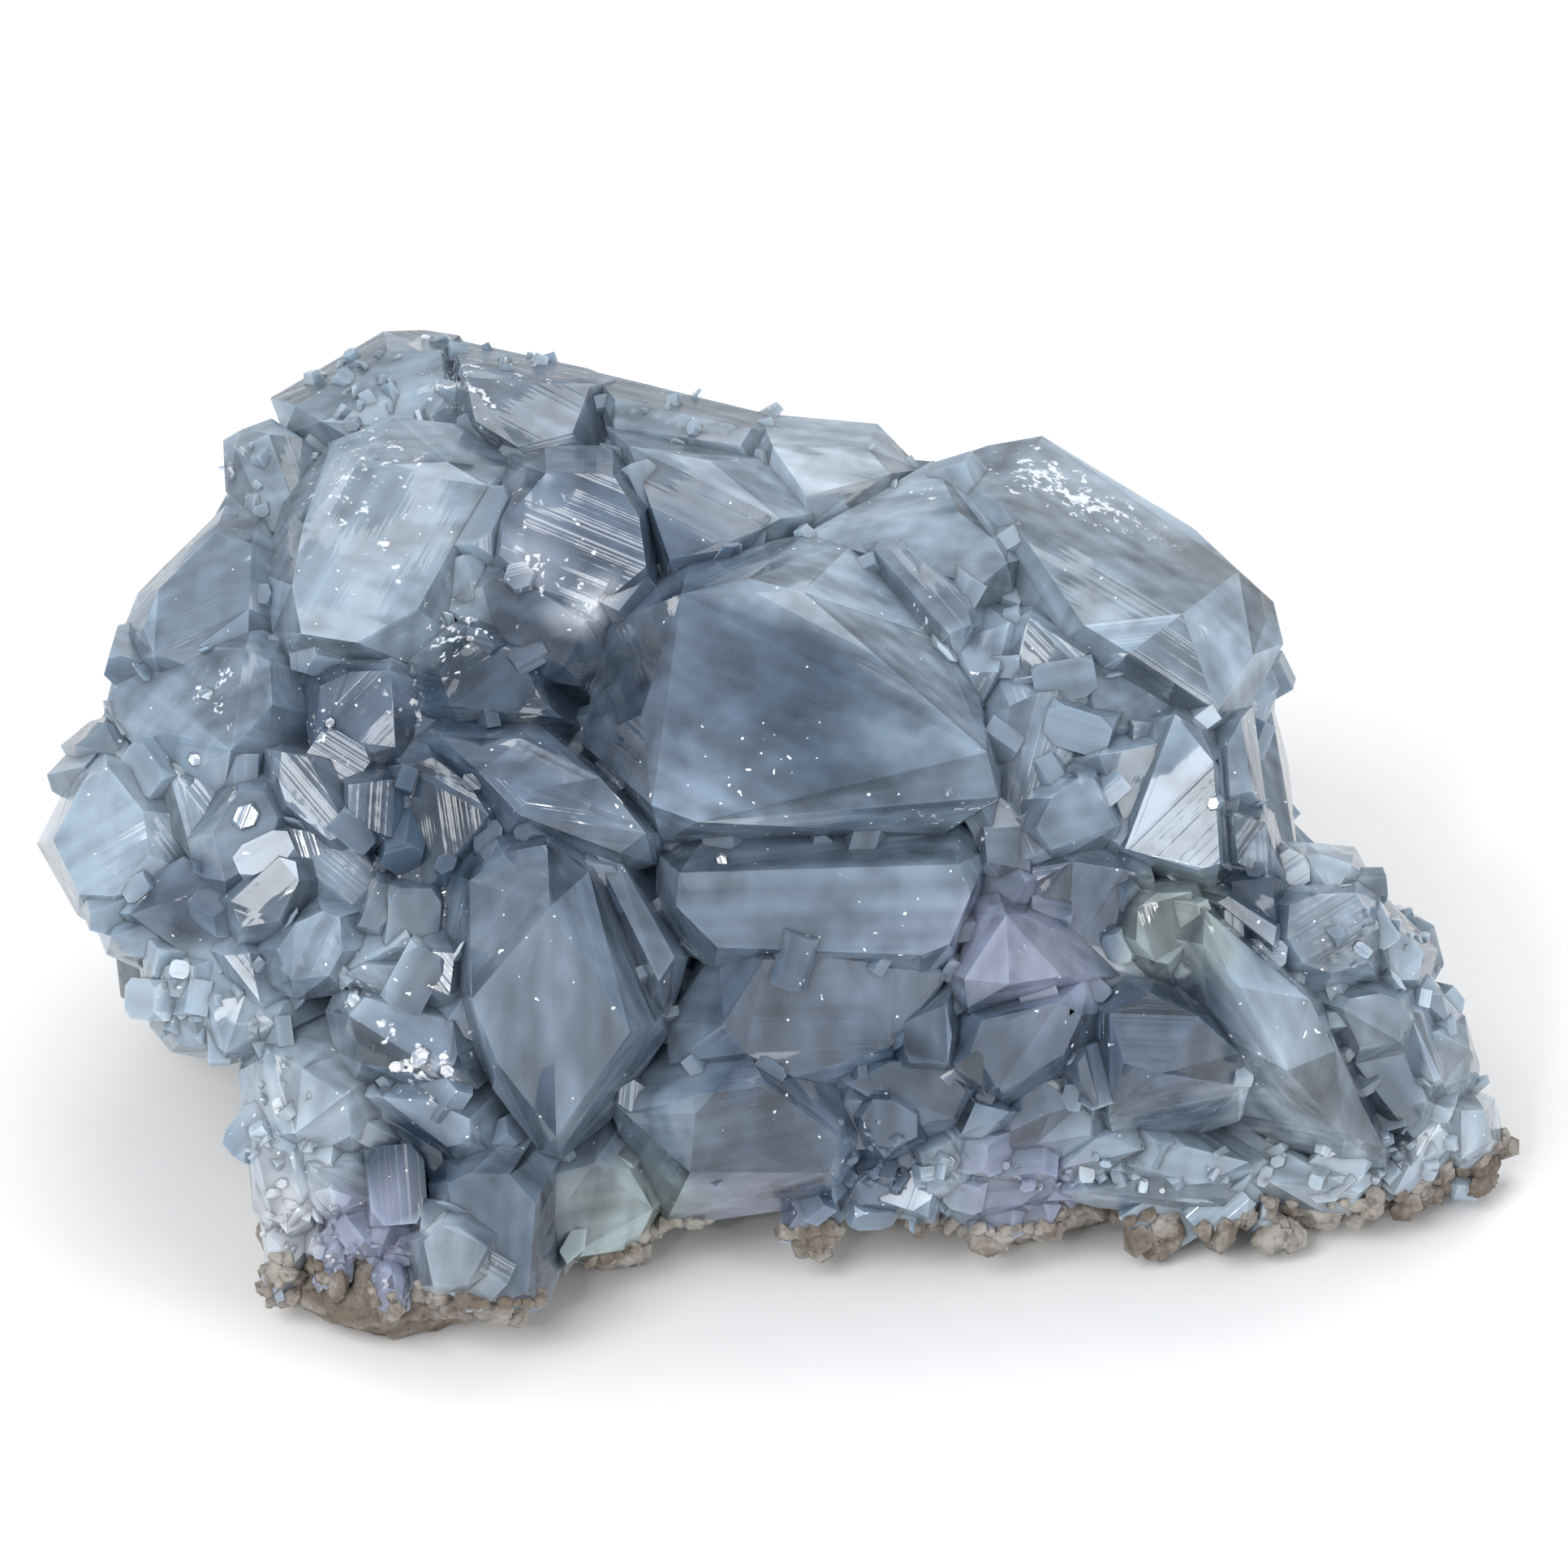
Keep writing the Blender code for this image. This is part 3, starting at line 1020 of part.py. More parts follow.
def rind_outline():
    """The outline of the rind in plan, in mm, with a broken point between each pair of its corners."""
    corners = [placed(across, depth, 0) for across, depth in RIND_OUTLINE]
    outline = []
    for corner, following in zip(corners, corners[1:] + corners[:1]):
        middle = (corner + following) / 2
        outline += [corner, middle + noise.noise_vector(middle * RIND_GRAIN) * RIND_CHIP]
    return [Vector((point.x, point.y, 0)) for point in outline]


def outward(outline, index):
    """The outline's outward direction at one of its points."""
    along = outline[(index + 2) % len(outline)] - outline[index - 2]
    return Vector((along.y, -along.x, 0)).normalized()


def ringed_mesh(rings, grown):
    """A solid of the rind's outline raised in rings of (height, inset), in mm, grown outward that far."""
    solid = bmesh.new()
    outline = rind_outline()
    sides = [outward(outline, index) for index in range(len(outline))]
    ring = [solid.verts.new(ring_corner(point, side, *rings[0])) for point, side in zip(outline, sides)]
    face = solid.faces.new(ring)
    for height, inset in rings[1:]:
        walls = bmesh.ops.extrude_edge_only(solid, edges=face.edges[:])
        fresh = [item for item in walls["geom"] if isinstance(item, bmesh.types.BMVert)]
        ring = [next(v for v in fresh if (v.co - old.co).length_squared == 0) for old in ring]
        for vert, point, side in zip(ring, outline, sides):
            vert.co = ring_corner(point, side, height, inset)
        if height != rings[1][0]:
            bmesh.ops.delete(solid, geom=[face], context="FACES_ONLY")
        face = solid.faces.new(ring)
    for number, vert in enumerate(solid.verts):
        vert.co += sides[number % len(outline)] * grown * MM
    bmesh.ops.recalc_face_normals(solid, faces=solid.faces)
    bmesh.ops.triangulate(solid, faces=solid.faces, quad_method="FIXED")
    return solid


def ring_corner(point, side, height, inset):
    """Where a point of the outline is on the ring of that height and inset, in metres."""
    chip = noise.noise((point + Vector((0, 0, inset * 3))) * RIND_GRAIN) * RIND_CHIP
    away = side * (chip - inset)
    bump = noise.noise(point * RIND_GRAIN + Vector((9, 3, inset * 3))) * RIND_BUMP
    return Vector((point.x + away.x, point.y + away.y, height + bump * (0 < height < RIND_TOP))) * MM


def ground_mesh():
    """A slab whose top is a little above the ground, so that only the rind stands on it."""
    slab = bmesh.new()
    bmesh.ops.create_cube(slab, size=1.0)
    bmesh.ops.scale(slab, vec=Vector((200, 200, 40)) * MM, verts=slab.verts)
    bmesh.ops.translate(slab, vec=Vector((0, 0, GROUND_CLEARANCE - 20)) * MM, verts=slab.verts)
    return slab


def cut_out(solid, name, mesh_data, collection):
    """Cuts the shape of this bmesh out of the solid."""
    cutter = make_object("cutter_" + name, mesh_data, collection, hidden=True)
    cut = solid.modifiers.new(name, "BOOLEAN")
    cut.operation = "DIFFERENCE"
    cut.solver = "EXACT"
    cut.use_self = True
    cut.object = cutter


def material_for(name):
    colour, roughness = COLOURS[name]
    material = bpy.data.materials.new(name)
    material.use_nodes = True
    shader = material.node_tree.nodes["Principled BSDF"]
    shader.inputs["Base Color"].default_value = colour
    shader.inputs["Roughness"].default_value = roughness
    shader.inputs["Metallic"].default_value = 0.0
    return material


def main():
    for old in list(bpy.data.objects):
        bpy.data.objects.remove(old)
    noise.seed_set(RIND_SEED)
    parts = bpy.data.collections.new("celestite_cluster")
    cutters = bpy.data.collections.new("cutters")
    blocks = bpy.data.collections.new("crystal_blocks")
    for collection in (parts, cutters, blocks):
        bpy.context.scene.collection.children.link(collection)

    for crystal in CRYSTALS:
        make_object("block_" + crystal.name, crystal_mesh(front_corners(crystal)), blocks, hidden=True)
    for corners in list(back_corners()) + list(druse_corners()):
        make_object("block_grown", crystal_mesh(corners), blocks, hidden=True)

    for centre, radii in CORES[1:] + PLUGS:
        make_object("block_core", core_mesh(centre, radii), blocks, hidden=True)

    celestite = make_object("celestite", core_mesh(*CORES[0]), parts)
    celestite.data.materials.append(material_for("celestite"))
    joined = celestite.modifiers.new("grown_together", "BOOLEAN")
    joined.operand_type = "COLLECTION"
    joined.operation = "UNION"
    joined.solver = "EXACT"
    joined.collection = blocks

    # The rind's own shape, grown by the gap and open below, is cut out of the crystals
    rings = ((-20.0, 0.0), (-10.0, 0.0), *((height + GAP, inset) for height, inset in RIND_RINGS[2:]))
    cut_out(celestite, "rind_bed", ringed_mesh(rings, GAP), cutters)
    cut_out(celestite, "ground", ground_mesh(), cutters)

    matrix = make_object("matrix", ringed_mesh(RIND_RINGS, 0.0), parts)
    matrix.data.materials.append(material_for("matrix"))


main()
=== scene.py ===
"""Looks of the celestite cluster: clear to milky blue-grey crystals on a thin rind of granular host rock."""

import logging
import math
import random
from dataclasses import dataclass, field
from enum import Enum
from typing import Any, Iterable

import bmesh
import bpy
import numpy as np
from mathutils import Matrix, Vector
from mathutils.bvhtree import BVHTree


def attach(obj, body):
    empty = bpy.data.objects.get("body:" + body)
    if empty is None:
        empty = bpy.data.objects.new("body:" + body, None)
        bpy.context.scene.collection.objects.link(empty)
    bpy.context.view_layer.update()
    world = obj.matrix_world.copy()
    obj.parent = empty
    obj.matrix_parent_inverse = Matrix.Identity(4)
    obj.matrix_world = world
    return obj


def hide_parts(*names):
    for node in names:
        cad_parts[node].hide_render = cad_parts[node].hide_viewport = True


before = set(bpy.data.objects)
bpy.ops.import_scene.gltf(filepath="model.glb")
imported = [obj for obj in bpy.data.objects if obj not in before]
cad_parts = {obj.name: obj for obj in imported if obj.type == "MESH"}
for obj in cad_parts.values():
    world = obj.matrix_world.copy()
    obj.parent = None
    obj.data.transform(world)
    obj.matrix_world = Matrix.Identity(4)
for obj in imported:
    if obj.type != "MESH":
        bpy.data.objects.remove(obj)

LOG = logging.getLogger("celestite_cluster")
MM = 0.001
MERGE_MM = 0.002

Colour = tuple[float, float, float]


class Noise(Enum):
    """Which of the procedural patterns a displacement follows."""

    LUMPS = "CLOUDS"
    GRAINS = "VORONOI"


@dataclass(frozen=True)
class FrontView:
    """The view that the cluster is composed for, and the places seen in it.

    Places in the view are (across, up) in mm at the plane through the cluster's front edge.
    """

    tilt: float = math.radians(30)
    distance: float = 700.0
    centre: tuple[float, float] = (1.07, 47.6)
    width: float = 128.8
    front_edge: float = -42.8
    across_shift: float = -0.55
    sensor: float = 36.0

    def place(self, across: float, up: float, out: float) -> Vector:
        """The place in space, in mm, of a point seen at (across, up) that stands out that far."""
        nearer = 1 - out / self.distance
        across = self.centre[0] + (across - self.centre[0]) * nearer
        up = self.centre[1] + (up - self.centre[1]) * nearer
        sine, cosine = math.sin(self.tilt), math.cos(self.tilt)
        depth = up * sine - out * cosine
        return Vector((across + self.across_shift, self.front_edge + depth, up * cosine + out * sine))

    def eye(self) -> Vector:
        """Where the camera stands, in metres."""
        back = Vector((0, -math.cos(self.tilt), math.sin(self.tilt)))
        return (self.place(*self.centre, 0.0) + back * self.distance) * MM

    def seen(self, points: np.ndarray) -> np.ndarray:
        """Where points are seen.

        Args:
            points: Places in metres, one row each.

        Returns:
            One row of (across, up, out) in mm for each point.
        """
        x, y, z = points.T / MM
        sine, cosine = math.sin(self.tilt), math.cos(self.tilt)
        depth = y - self.front_edge
        out = z * sine - depth * cosine
        nearer = 1 - out / self.distance
        across = self.centre[0] + (x - self.across_shift - self.centre[0]) / nearer
        up = self.centre[1] + (z * cosine + depth * sine - self.centre[1]) / nearer
        return np.stack((across, up, out), axis=1)


VIEW = FrontView()
SPARK = (-0.35, -1.2, 0.75)


class Socket:
    """A shader value that takes part in ordinary arithmetic."""

    def __init__(self, paint: "Paint", socket: bpy.types.NodeSocket) -> None:
        """Wraps one output socket of a material."""
        self.paint = paint
        self.socket = socket

    def _math(self, operation: str, *values: "Socket | float") -> "Socket":
        """One Math node of that operation on these values."""
        return self.paint.node("ShaderNodeMath", {"operation": operation}, dict(enumerate(values)))

    def __add__(self, other: "Socket | float") -> "Socket":
        """self + other."""
        return self._math("ADD", self, other)

    __radd__ = __add__

    def __mul__(self, other: "Socket | float") -> "Socket":
        """self * other."""
        return self._math("MULTIPLY", self, other)

    __rmul__ = __mul__

    def __sub__(self, other: "Socket | float") -> "Socket":
        """self - other."""
        return self._math("SUBTRACT", self, other)

    def __rsub__(self, other: "Socket | float") -> "Socket":
        """other - self."""
        return self._math("SUBTRACT", other, self)

    def above(self, limit: "Socket | float") -> "Socket":
        """1 where the value is over the limit, and 0 elsewhere."""
        return self._math("GREATER_THAN", self, limit)

    def clamped(self) -> "Socket":
        """The value, held between 0 and 1."""
        return self.paint.node("ShaderNodeClamp", {}, {"Value": self})

    def ramped(self, low: float, high: float) -> "Socket":
        """The value, from 0 at low to 1 at high with eased ends."""
        inputs = {"Value": self, "From Min": low, "From Max": high}
        return self.paint.node("ShaderNodeMapRange", {"interpolation_type": "SMOOTHSTEP"}, inputs)


class Paint:
    """One material and the nodes in it."""

    def __init__(self, name: str) -> None:
        """Makes an empty material of that name."""
        self.material = bpy.data.materials.new(name)
        self.material.use_nodes = True
        self.tree = self.material.node_tree
        self.tree.nodes.clear()

    def node(
        self, kind: str, settings: dict[str, Any], inputs: dict[int | str, Any], output: int | str = 0
    ) -> Socket:
        """Adds a node.

        Args:
            kind: The node's type.
            settings: Its settings, which are set first.
            inputs: Values or links for its sockets, by name or number.
            output: The output that is wanted.

        Returns:
            That output.
        """
        made = self.tree.nodes.new(kind)
        for name, value in settings.items():
            setattr(made, name, value)
        for name, value in inputs.items():
            if isinstance(value, Socket):
                self.tree.links.new(value.socket, made.inputs[name])
            else:
                made.inputs[name].default_value = value
        return Socket(self, made.outputs[output])

    def place(self, stretch: Colour = (1.0, 1.0, 1.0), turn: Colour = (0.0, 0.0, 0.0)) -> Socket:
        """The point on the piece in metres, stretched and turned."""
        point = self.node("ShaderNodeTexCoord", {}, {}, "Object")
        return self.node("ShaderNodeMapping", {}, {"Vector": point, "Scale": stretch, "Rotation": turn})

    def noise(self, at: Socket, scale: float, detail: float = 3.0, rough: float = 0.55) -> Socket:
        """Cloudy noise about 0.5 with features of 1/scale metres."""
        return self.node(
            "ShaderNodeTexNoise", {}, {"Vector": at, "Scale": scale, "Detail": detail, "Roughness": rough}
        )

    def lines(self, at: Socket, scale: float, detail: float) -> Socket:
        """Bands about 0.5 along a distance in mm, with features of 1/scale mm."""
        return self.node(
            "ShaderNodeTexNoise", {"noise_dimensions": "1D"}, {"W": at, "Scale": scale, "Detail": detail}
        )

    def attribute(self, name: str, output: str = "Fac") -> Socket:
        """An attribute of the mesh."""
        return self.node("ShaderNodeAttribute", {"attribute_name": name}, {}, output)

    def blend(self, share: Socket | float, first: Socket | Colour, second: Socket | Colour) -> Socket:
        """A mix of two colours."""
        inputs = {0: share, 6: solid(first), 7: solid(second)}
        return self.node("ShaderNodeMix", {"data_type": "RGBA"}, inputs, 2)

    def scaled(self, colour: Socket, share: Socket) -> Socket:
        """A colour times a value."""
        return self.node("ShaderNodeVectorMath", {"operation": "SCALE"}, {0: colour, "Scale": share})

    def bump(self, height: Socket, depth_mm: float) -> Socket:
        """A normal for relief of this depth."""
        inputs = {"Height": height, "Strength": 1.0, "Distance": depth_mm * MM}
        return self.node("ShaderNodeBump", {}, inputs)

    def finish(self, surface: Socket, volume: Socket | None = None) -> bpy.types.Material:
        """Connects the material's output and returns the material."""
        inputs: dict[int | str, Any] = {"Surface": surface}
        if volume is not None:
            inputs["Volume"] = volume
        out = self.tree.nodes.new("ShaderNodeOutputMaterial")
        for name, value in inputs.items():
            self.tree.links.new(value.socket, out.inputs[name])
        return self.material


def solid(colour: Socket | Iterable[float]) -> Any:
    """A colour with full alpha, or the socket as it is."""
    return colour if isinstance(colour, Socket) else (*colour, 1.0)


def linear(red: int, green: int, blue: int) -> Colour:
    """The linear colour of display values from 0 to 255."""
    values = [v / 255 for v in (red, green, blue)]
    return tuple(v / 12.92 if v < 0.04045 else ((v + 0.055) / 1.055) ** 2.4 for v in values)


def choose(obj: bpy.types.Object) -> None:
    """Makes obj the only selected and active object."""
    bpy.ops.object.select_all(action="DESELECT")
    obj.select_set(True)
    bpy.context.view_layer.objects.active = obj


def applied(obj: bpy.types.Object, kind: str, **settings: Any) -> None:
    """Adds a modifier with these settings and applies it."""
    choose(obj)
    modifier = obj.modifiers.new(kind.lower(), kind)
    for name, value in settings.items():
        setattr(modifier, name, value)
    bpy.ops.object.modifier_apply(modifier=modifier.name)


def roughened(
    obj: bpy.types.Object, pattern: Noise, size_mm: float, depth_mm: float, group: str = ""
) -> None:
    """Displaces the mesh along its normals.

    Args:
        obj: The piece.
        pattern: The kind of relief.
        size_mm: Size of its features.
        depth_mm: Full height of the relief, half of it outward.
        group: Vertex group that weighs the relief, if any.
    """
    texture = bpy.data.textures.new(f"{obj.name}_{pattern.name.lower()}", pattern.value)
    texture.noise_scale = size_mm * MM
    if pattern is Noise.LUMPS:
        texture.noise_depth = 2
    applied(
        obj, "DISPLACE", texture=texture, strength=depth_mm * MM, mid_level=0.5, texture_coords="LOCAL",
        vertex_group=group,
    )


def copied(node: str, name: str) -> bpy.types.Object:
    """A merged copy of a CAD node's mesh that stands in for the node."""
    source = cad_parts[node]
    piece = source.copy()
    piece.data = source.data.copy()
    piece.name = name
    piece.data.name = name
    bpy.context.scene.collection.objects.link(piece)
    choose(piece)
    bpy.ops.object.mode_set(mode="EDIT")
    bpy.ops.mesh.select_all(action="SELECT")
    bpy.ops.mesh.remove_doubles(threshold=MERGE_MM * MM)
    bpy.ops.object.mode_set(mode="OBJECT")
    return piece


def points_of(mesh: bpy.types.Mesh) -> np.ndarray:
    """The vertices' places in metres, one row each."""
    values = np.empty(len(mesh.vertices) * 3, np.float32)
    mesh.vertices.foreach_get("co", values)
    return values.reshape(-1, 3).astype(np.float64)


def put_values(mesh: bpy.types.Mesh, name: str, values: np.ndarray) -> None:
    """Stores one value, or one colour, for each vertex under that name."""
    if values.ndim == 1:
        mesh.attributes.new(name, "FLOAT", "POINT").data.foreach_set("value", values.astype(np.float32))
        return
    full = np.concatenate((values, np.ones((len(values), 1))), axis=1)
    made = mesh.color_attributes.new(name, "FLOAT_COLOR", "POINT")
    made.data.foreach_set("color", full.astype(np.float32).ravel())


class Hue(Enum):
    """The few colours painted on the crystals, from the deepest to the palest, and two tinted ones; the
    deepest is painted shade in the cavity, and on the shadowed blocks a body colour serves as painted shade.
    """

    INK = linear(40, 54, 70)
    NAVY = linear(60, 76, 94)
    SLATE = linear(80, 94, 112)
    STEEL = linear(98, 112, 128)
    BLUE_GREY = linear(114, 130, 146)
    SKY = linear(130, 146, 160)
    PALE = linear(148, 162, 174)
    MILKY = linear(176, 183, 192)
    LAVENDER = linear(124, 131, 152)
    OLIVE = linear(134, 147, 148)


@dataclass(frozen=True)
class Tone:
    """Which colour one part of the cluster is painted, its body colour or, on the shadowed parts, painted
    shade, and how milky it is, at a place in the front view.
    """

    name: str
    across: float
    up: float
    reach: float
    hue: Hue
    milk: float = 0.5


# The cavity's tone is painted shade in the recess, and the left shadow and shadow block tones are painted
# darker for the shade on them.
TONES = (
    Tone("crown", -34, 81, 7, Hue.SKY, 0.6),
    Tone("left shoulder", -42, 74, 5, Hue.SKY, 0.5),
    Tone("frosted tower", -32, 67, 9, Hue.SKY, 0.7),
    Tone("left tower", -47, 64, 6, Hue.BLUE_GREY, 0.5),
    Tone("blue crown", -20, 79, 6, Hue.BLUE_GREY, 0.5),
    Tone("saddle", -7, 77, 6, Hue.SKY, 0.5),
    Tone("saddle flank", -5, 70, 5, Hue.SLATE, 0.75),
    Tone("cleaved block", -16, 67, 7, Hue.SLATE, 0.6),
    Tone("cleavage", -18.5, 66.3, 3.2, Hue.MILKY, 0.8),
    Tone("cleavage tip", -15.3, 62, 2.0, Hue.MILKY, 0.8),
    Tone("cleaved foot", -20, 60, 4, Hue.SLATE, 0.5),
    Tone("navy block", -23, 56, 5, Hue.NAVY, 0.4),
    Tone("top block", 5, 74, 6, Hue.PALE, 0.5),
    Tone("bright wedge", 14, 69, 5, Hue.SKY, 0.5),
    Tone("banded wedge", 12, 64, 4, Hue.STEEL, 0.5),
    Tone("long ridge top", 28, 72, 6, Hue.PALE, 0.65),
    Tone("long ridge middle", 26, 65, 7, Hue.SKY, 0.45),
    Tone("long ridge end", 37, 59, 6, Hue.SKY, 0.4),
    Tone("notch", 18, 57, 4, Hue.BLUE_GREY, 0.5),
    Tone("upper gusset", 29, 55, 4, Hue.BLUE_GREY, 0.5),
    Tone("great table left", -6, 55, 7, Hue.SLATE, 0.35),
    Tone("great table heart", 3, 53, 8, Hue.NAVY, 0.3),
    Tone("great table right", 13, 53, 6, Hue.STEEL, 0.45),
    Tone("great table band", 9, 61.5, 3, Hue.SKY, 0.5),
    Tone("great table slope", 14, 57, 3, Hue.PALE, 0.5),
    Tone("great table corner", 17.5, 51, 3, Hue.BLUE_GREY, 0.5),
    Tone("great table rim", 3, 65, 5, Hue.SKY, 0.5),
    Tone("step block", 3, 38, 8, Hue.STEEL, 0.6),
    Tone("dark step", 3, 29, 7, Hue.SLATE, 0.5),
    Tone("diagonal prism", -18, 32, 8, Hue.STEEL, 0.5),
    Tone("diagonal foot", -16, 20, 5, Hue.STEEL, 0.5),
    Tone("upper left shoulder", -20, 48, 6, Hue.SLATE, 0.45),
    Tone("navy strip", -28, 45, 5, Hue.NAVY, 0.4),
    Tone("slotted prism", -11, 38, 4, Hue.STEEL, 0.45),
    Tone("bottom block front", 0, 18, 6, Hue.SLATE, 0.45),
    Tone("bottom block side", -9, 20, 4, Hue.BLUE_GREY, 0.5),
    Tone("bottom block under", -2, 12, 4, Hue.LAVENDER, 0.6),
    Tone("green hexagon", -13, 12, 5, Hue.OLIVE, 0.6),
    Tone("blue boulder", -22, 12, 5, Hue.STEEL, 0.4),
    Tone("clear hexagon", -26, 9, 4, Hue.PALE, 0.4),
    Tone("plum blocks", 10, 19, 5, Hue.SLATE, 0.55),
    Tone("milky block", 14, 16, 3, Hue.SKY, 0.7),
    Tone("low slab", 20, 14, 4, Hue.LAVENDER, 0.55),
    Tone("ink block", 10, 24, 3, Hue.NAVY, 0.4),
    Tone("lavender block", 21, 34, 5, Hue.LAVENDER, 0.6),
    Tone("slate block", 20, 26, 5, Hue.SLATE, 0.5),
    Tone("right dark block", 33, 25, 6, Hue.SLATE, 0.35),
    Tone("light plate", 25, 45, 4, Hue.BLUE_GREY, 0.5),
    Tone("standing prism", 34, 46, 5, Hue.BLUE_GREY, 0.5),
    Tone("shadow block", 26, 38, 4, Hue.SLATE, 0.4),
    Tone("green block", 33, 36, 4, Hue.OLIVE, 0.5),
    Tone("great diagonal top", 43, 28, 5, Hue.SKY, 0.55),
    Tone("great diagonal side", 41, 22, 4, Hue.PALE, 0.45),
    Tone("right wall", 39, 48, 4, Hue.BLUE_GREY, 0.4),
    Tone("right navy", 40, 37, 3, Hue.NAVY, 0.4),
    Tone("lumpy block", 46, 35, 5, Hue.BLUE_GREY, 0.5),
    Tone("pale ledge", 46, 41, 3, Hue.PALE, 0.5),
    Tone("right shoulder", 52, 33, 4, Hue.SKY, 0.45),
    Tone("sky block", 50, 28, 4, Hue.SKY, 0.45),
    Tone("right pocket", 51, 22, 4, Hue.STEEL, 0.4),
    Tone("right end", 57, 20, 5, Hue.PALE, 0.5),
    Tone("base wedge", 45, 14, 5, Hue.PALE, 0.55),
    Tone("base plates", 32, 15, 6, Hue.SKY, 0.6),
    Tone("left block", -55, 43, 7, Hue.SKY, 0.55),
    Tone("sparkling block", -47, 54, 6, Hue.BLUE_GREY, 0.45),
    Tone("left shadow", -49, 38, 4, Hue.SLATE, 0.4),
    Tone("grey plate", -38, 47, 4, Hue.STEEL, 0.6),
    Tone("frosted wall", -34, 53, 5, Hue.SLATE, 0.5),
    Tone("left grey slabs", -39, 36, 5, Hue.BLUE_GREY, 0.6),
    Tone("scallops", -50, 31, 5, Hue.SKY, 0.6),
    Tone("low left", -43, 28, 4, Hue.SKY, 0.55),
    Tone("pale bar", -32, 32, 4, Hue.SKY, 0.5),
    Tone("broken block", -30, 26, 4, Hue.STEEL, 0.55),
    Tone("pale column", -38, 21, 5, Hue.PALE, 0.6),
    Tone("leg foot", -40, 11, 4, Hue.MILKY, 0.65),
    # Painted shade: the cavity is darkest where shade falls in the recess.
    Tone("cavity", -30, 16, 3.5, Hue.INK, 0.85),
    Tone("leg druse", -34, 8, 5, Hue.LAVENDER, 0.7),
)
BACK_TONE = Tone("back", 0, 0, 0, Hue.BLUE_GREY, 0.5)


@dataclass(frozen=True)
class FrostAndPaintedSparkleSpot:
    """A white patch at a place in the front view, in mm; the list holds frosted patches and spots of painted
    sparkle.
    """

    across: float
    up: float
    reach: float
    share: float = 1.0


# Frosted patches, and painted sparkle where the small lamp's glints fall, as at (-28.5, 24.8), (-34, 31),
# (-46, 55) and (-4, 41.3).
FROST_AND_PAINTED_SPARKLE = (
    FrostAndPaintedSparkleSpot(-18, 66, 4.0, 0.45),
    FrostAndPaintedSparkleSpot(-16, 62, 2.5, 0.5),
    FrostAndPaintedSparkleSpot(21, 73.5, 1.8, 0.9),
    FrostAndPaintedSparkleSpot(25, 70, 3.0, 1.0),
    FrostAndPaintedSparkleSpot(33.5, 65, 2.4, 0.6),
    FrostAndPaintedSparkleSpot(-28.5, 24.8, 3.2, 0.8),
    FrostAndPaintedSparkleSpot(-33, 72, 5.0, 0.55),
    FrostAndPaintedSparkleSpot(-26, 60, 3.5, 0.5),
    FrostAndPaintedSparkleSpot(-36, 53, 2.5, 0.5),
    FrostAndPaintedSparkleSpot(-46, 55, 2.5, 0.5),
    FrostAndPaintedSparkleSpot(-30, 54, 2.0, 0.5),
    FrostAndPaintedSparkleSpot(-25, 80, 3.5, 0.5),
    FrostAndPaintedSparkleSpot(-20, 82.5, 3.0, 0.4),
    FrostAndPaintedSparkleSpot(-34, 31, 2.0, 0.6),
    FrostAndPaintedSparkleSpot(2.5, 45.2, 2.5, 0.4),
    FrostAndPaintedSparkleSpot(17.5, 45, 2.5, 0.35),
    FrostAndPaintedSparkleSpot(12, 62, 3.0, 0.3),
    FrostAndPaintedSparkleSpot(-4, 41.3, 1.6, 0.5),
    FrostAndPaintedSparkleSpot(12, 71, 1.6, 0.4),
    FrostAndPaintedSparkleSpot(-36, 6, 4.0, 0.35),
)


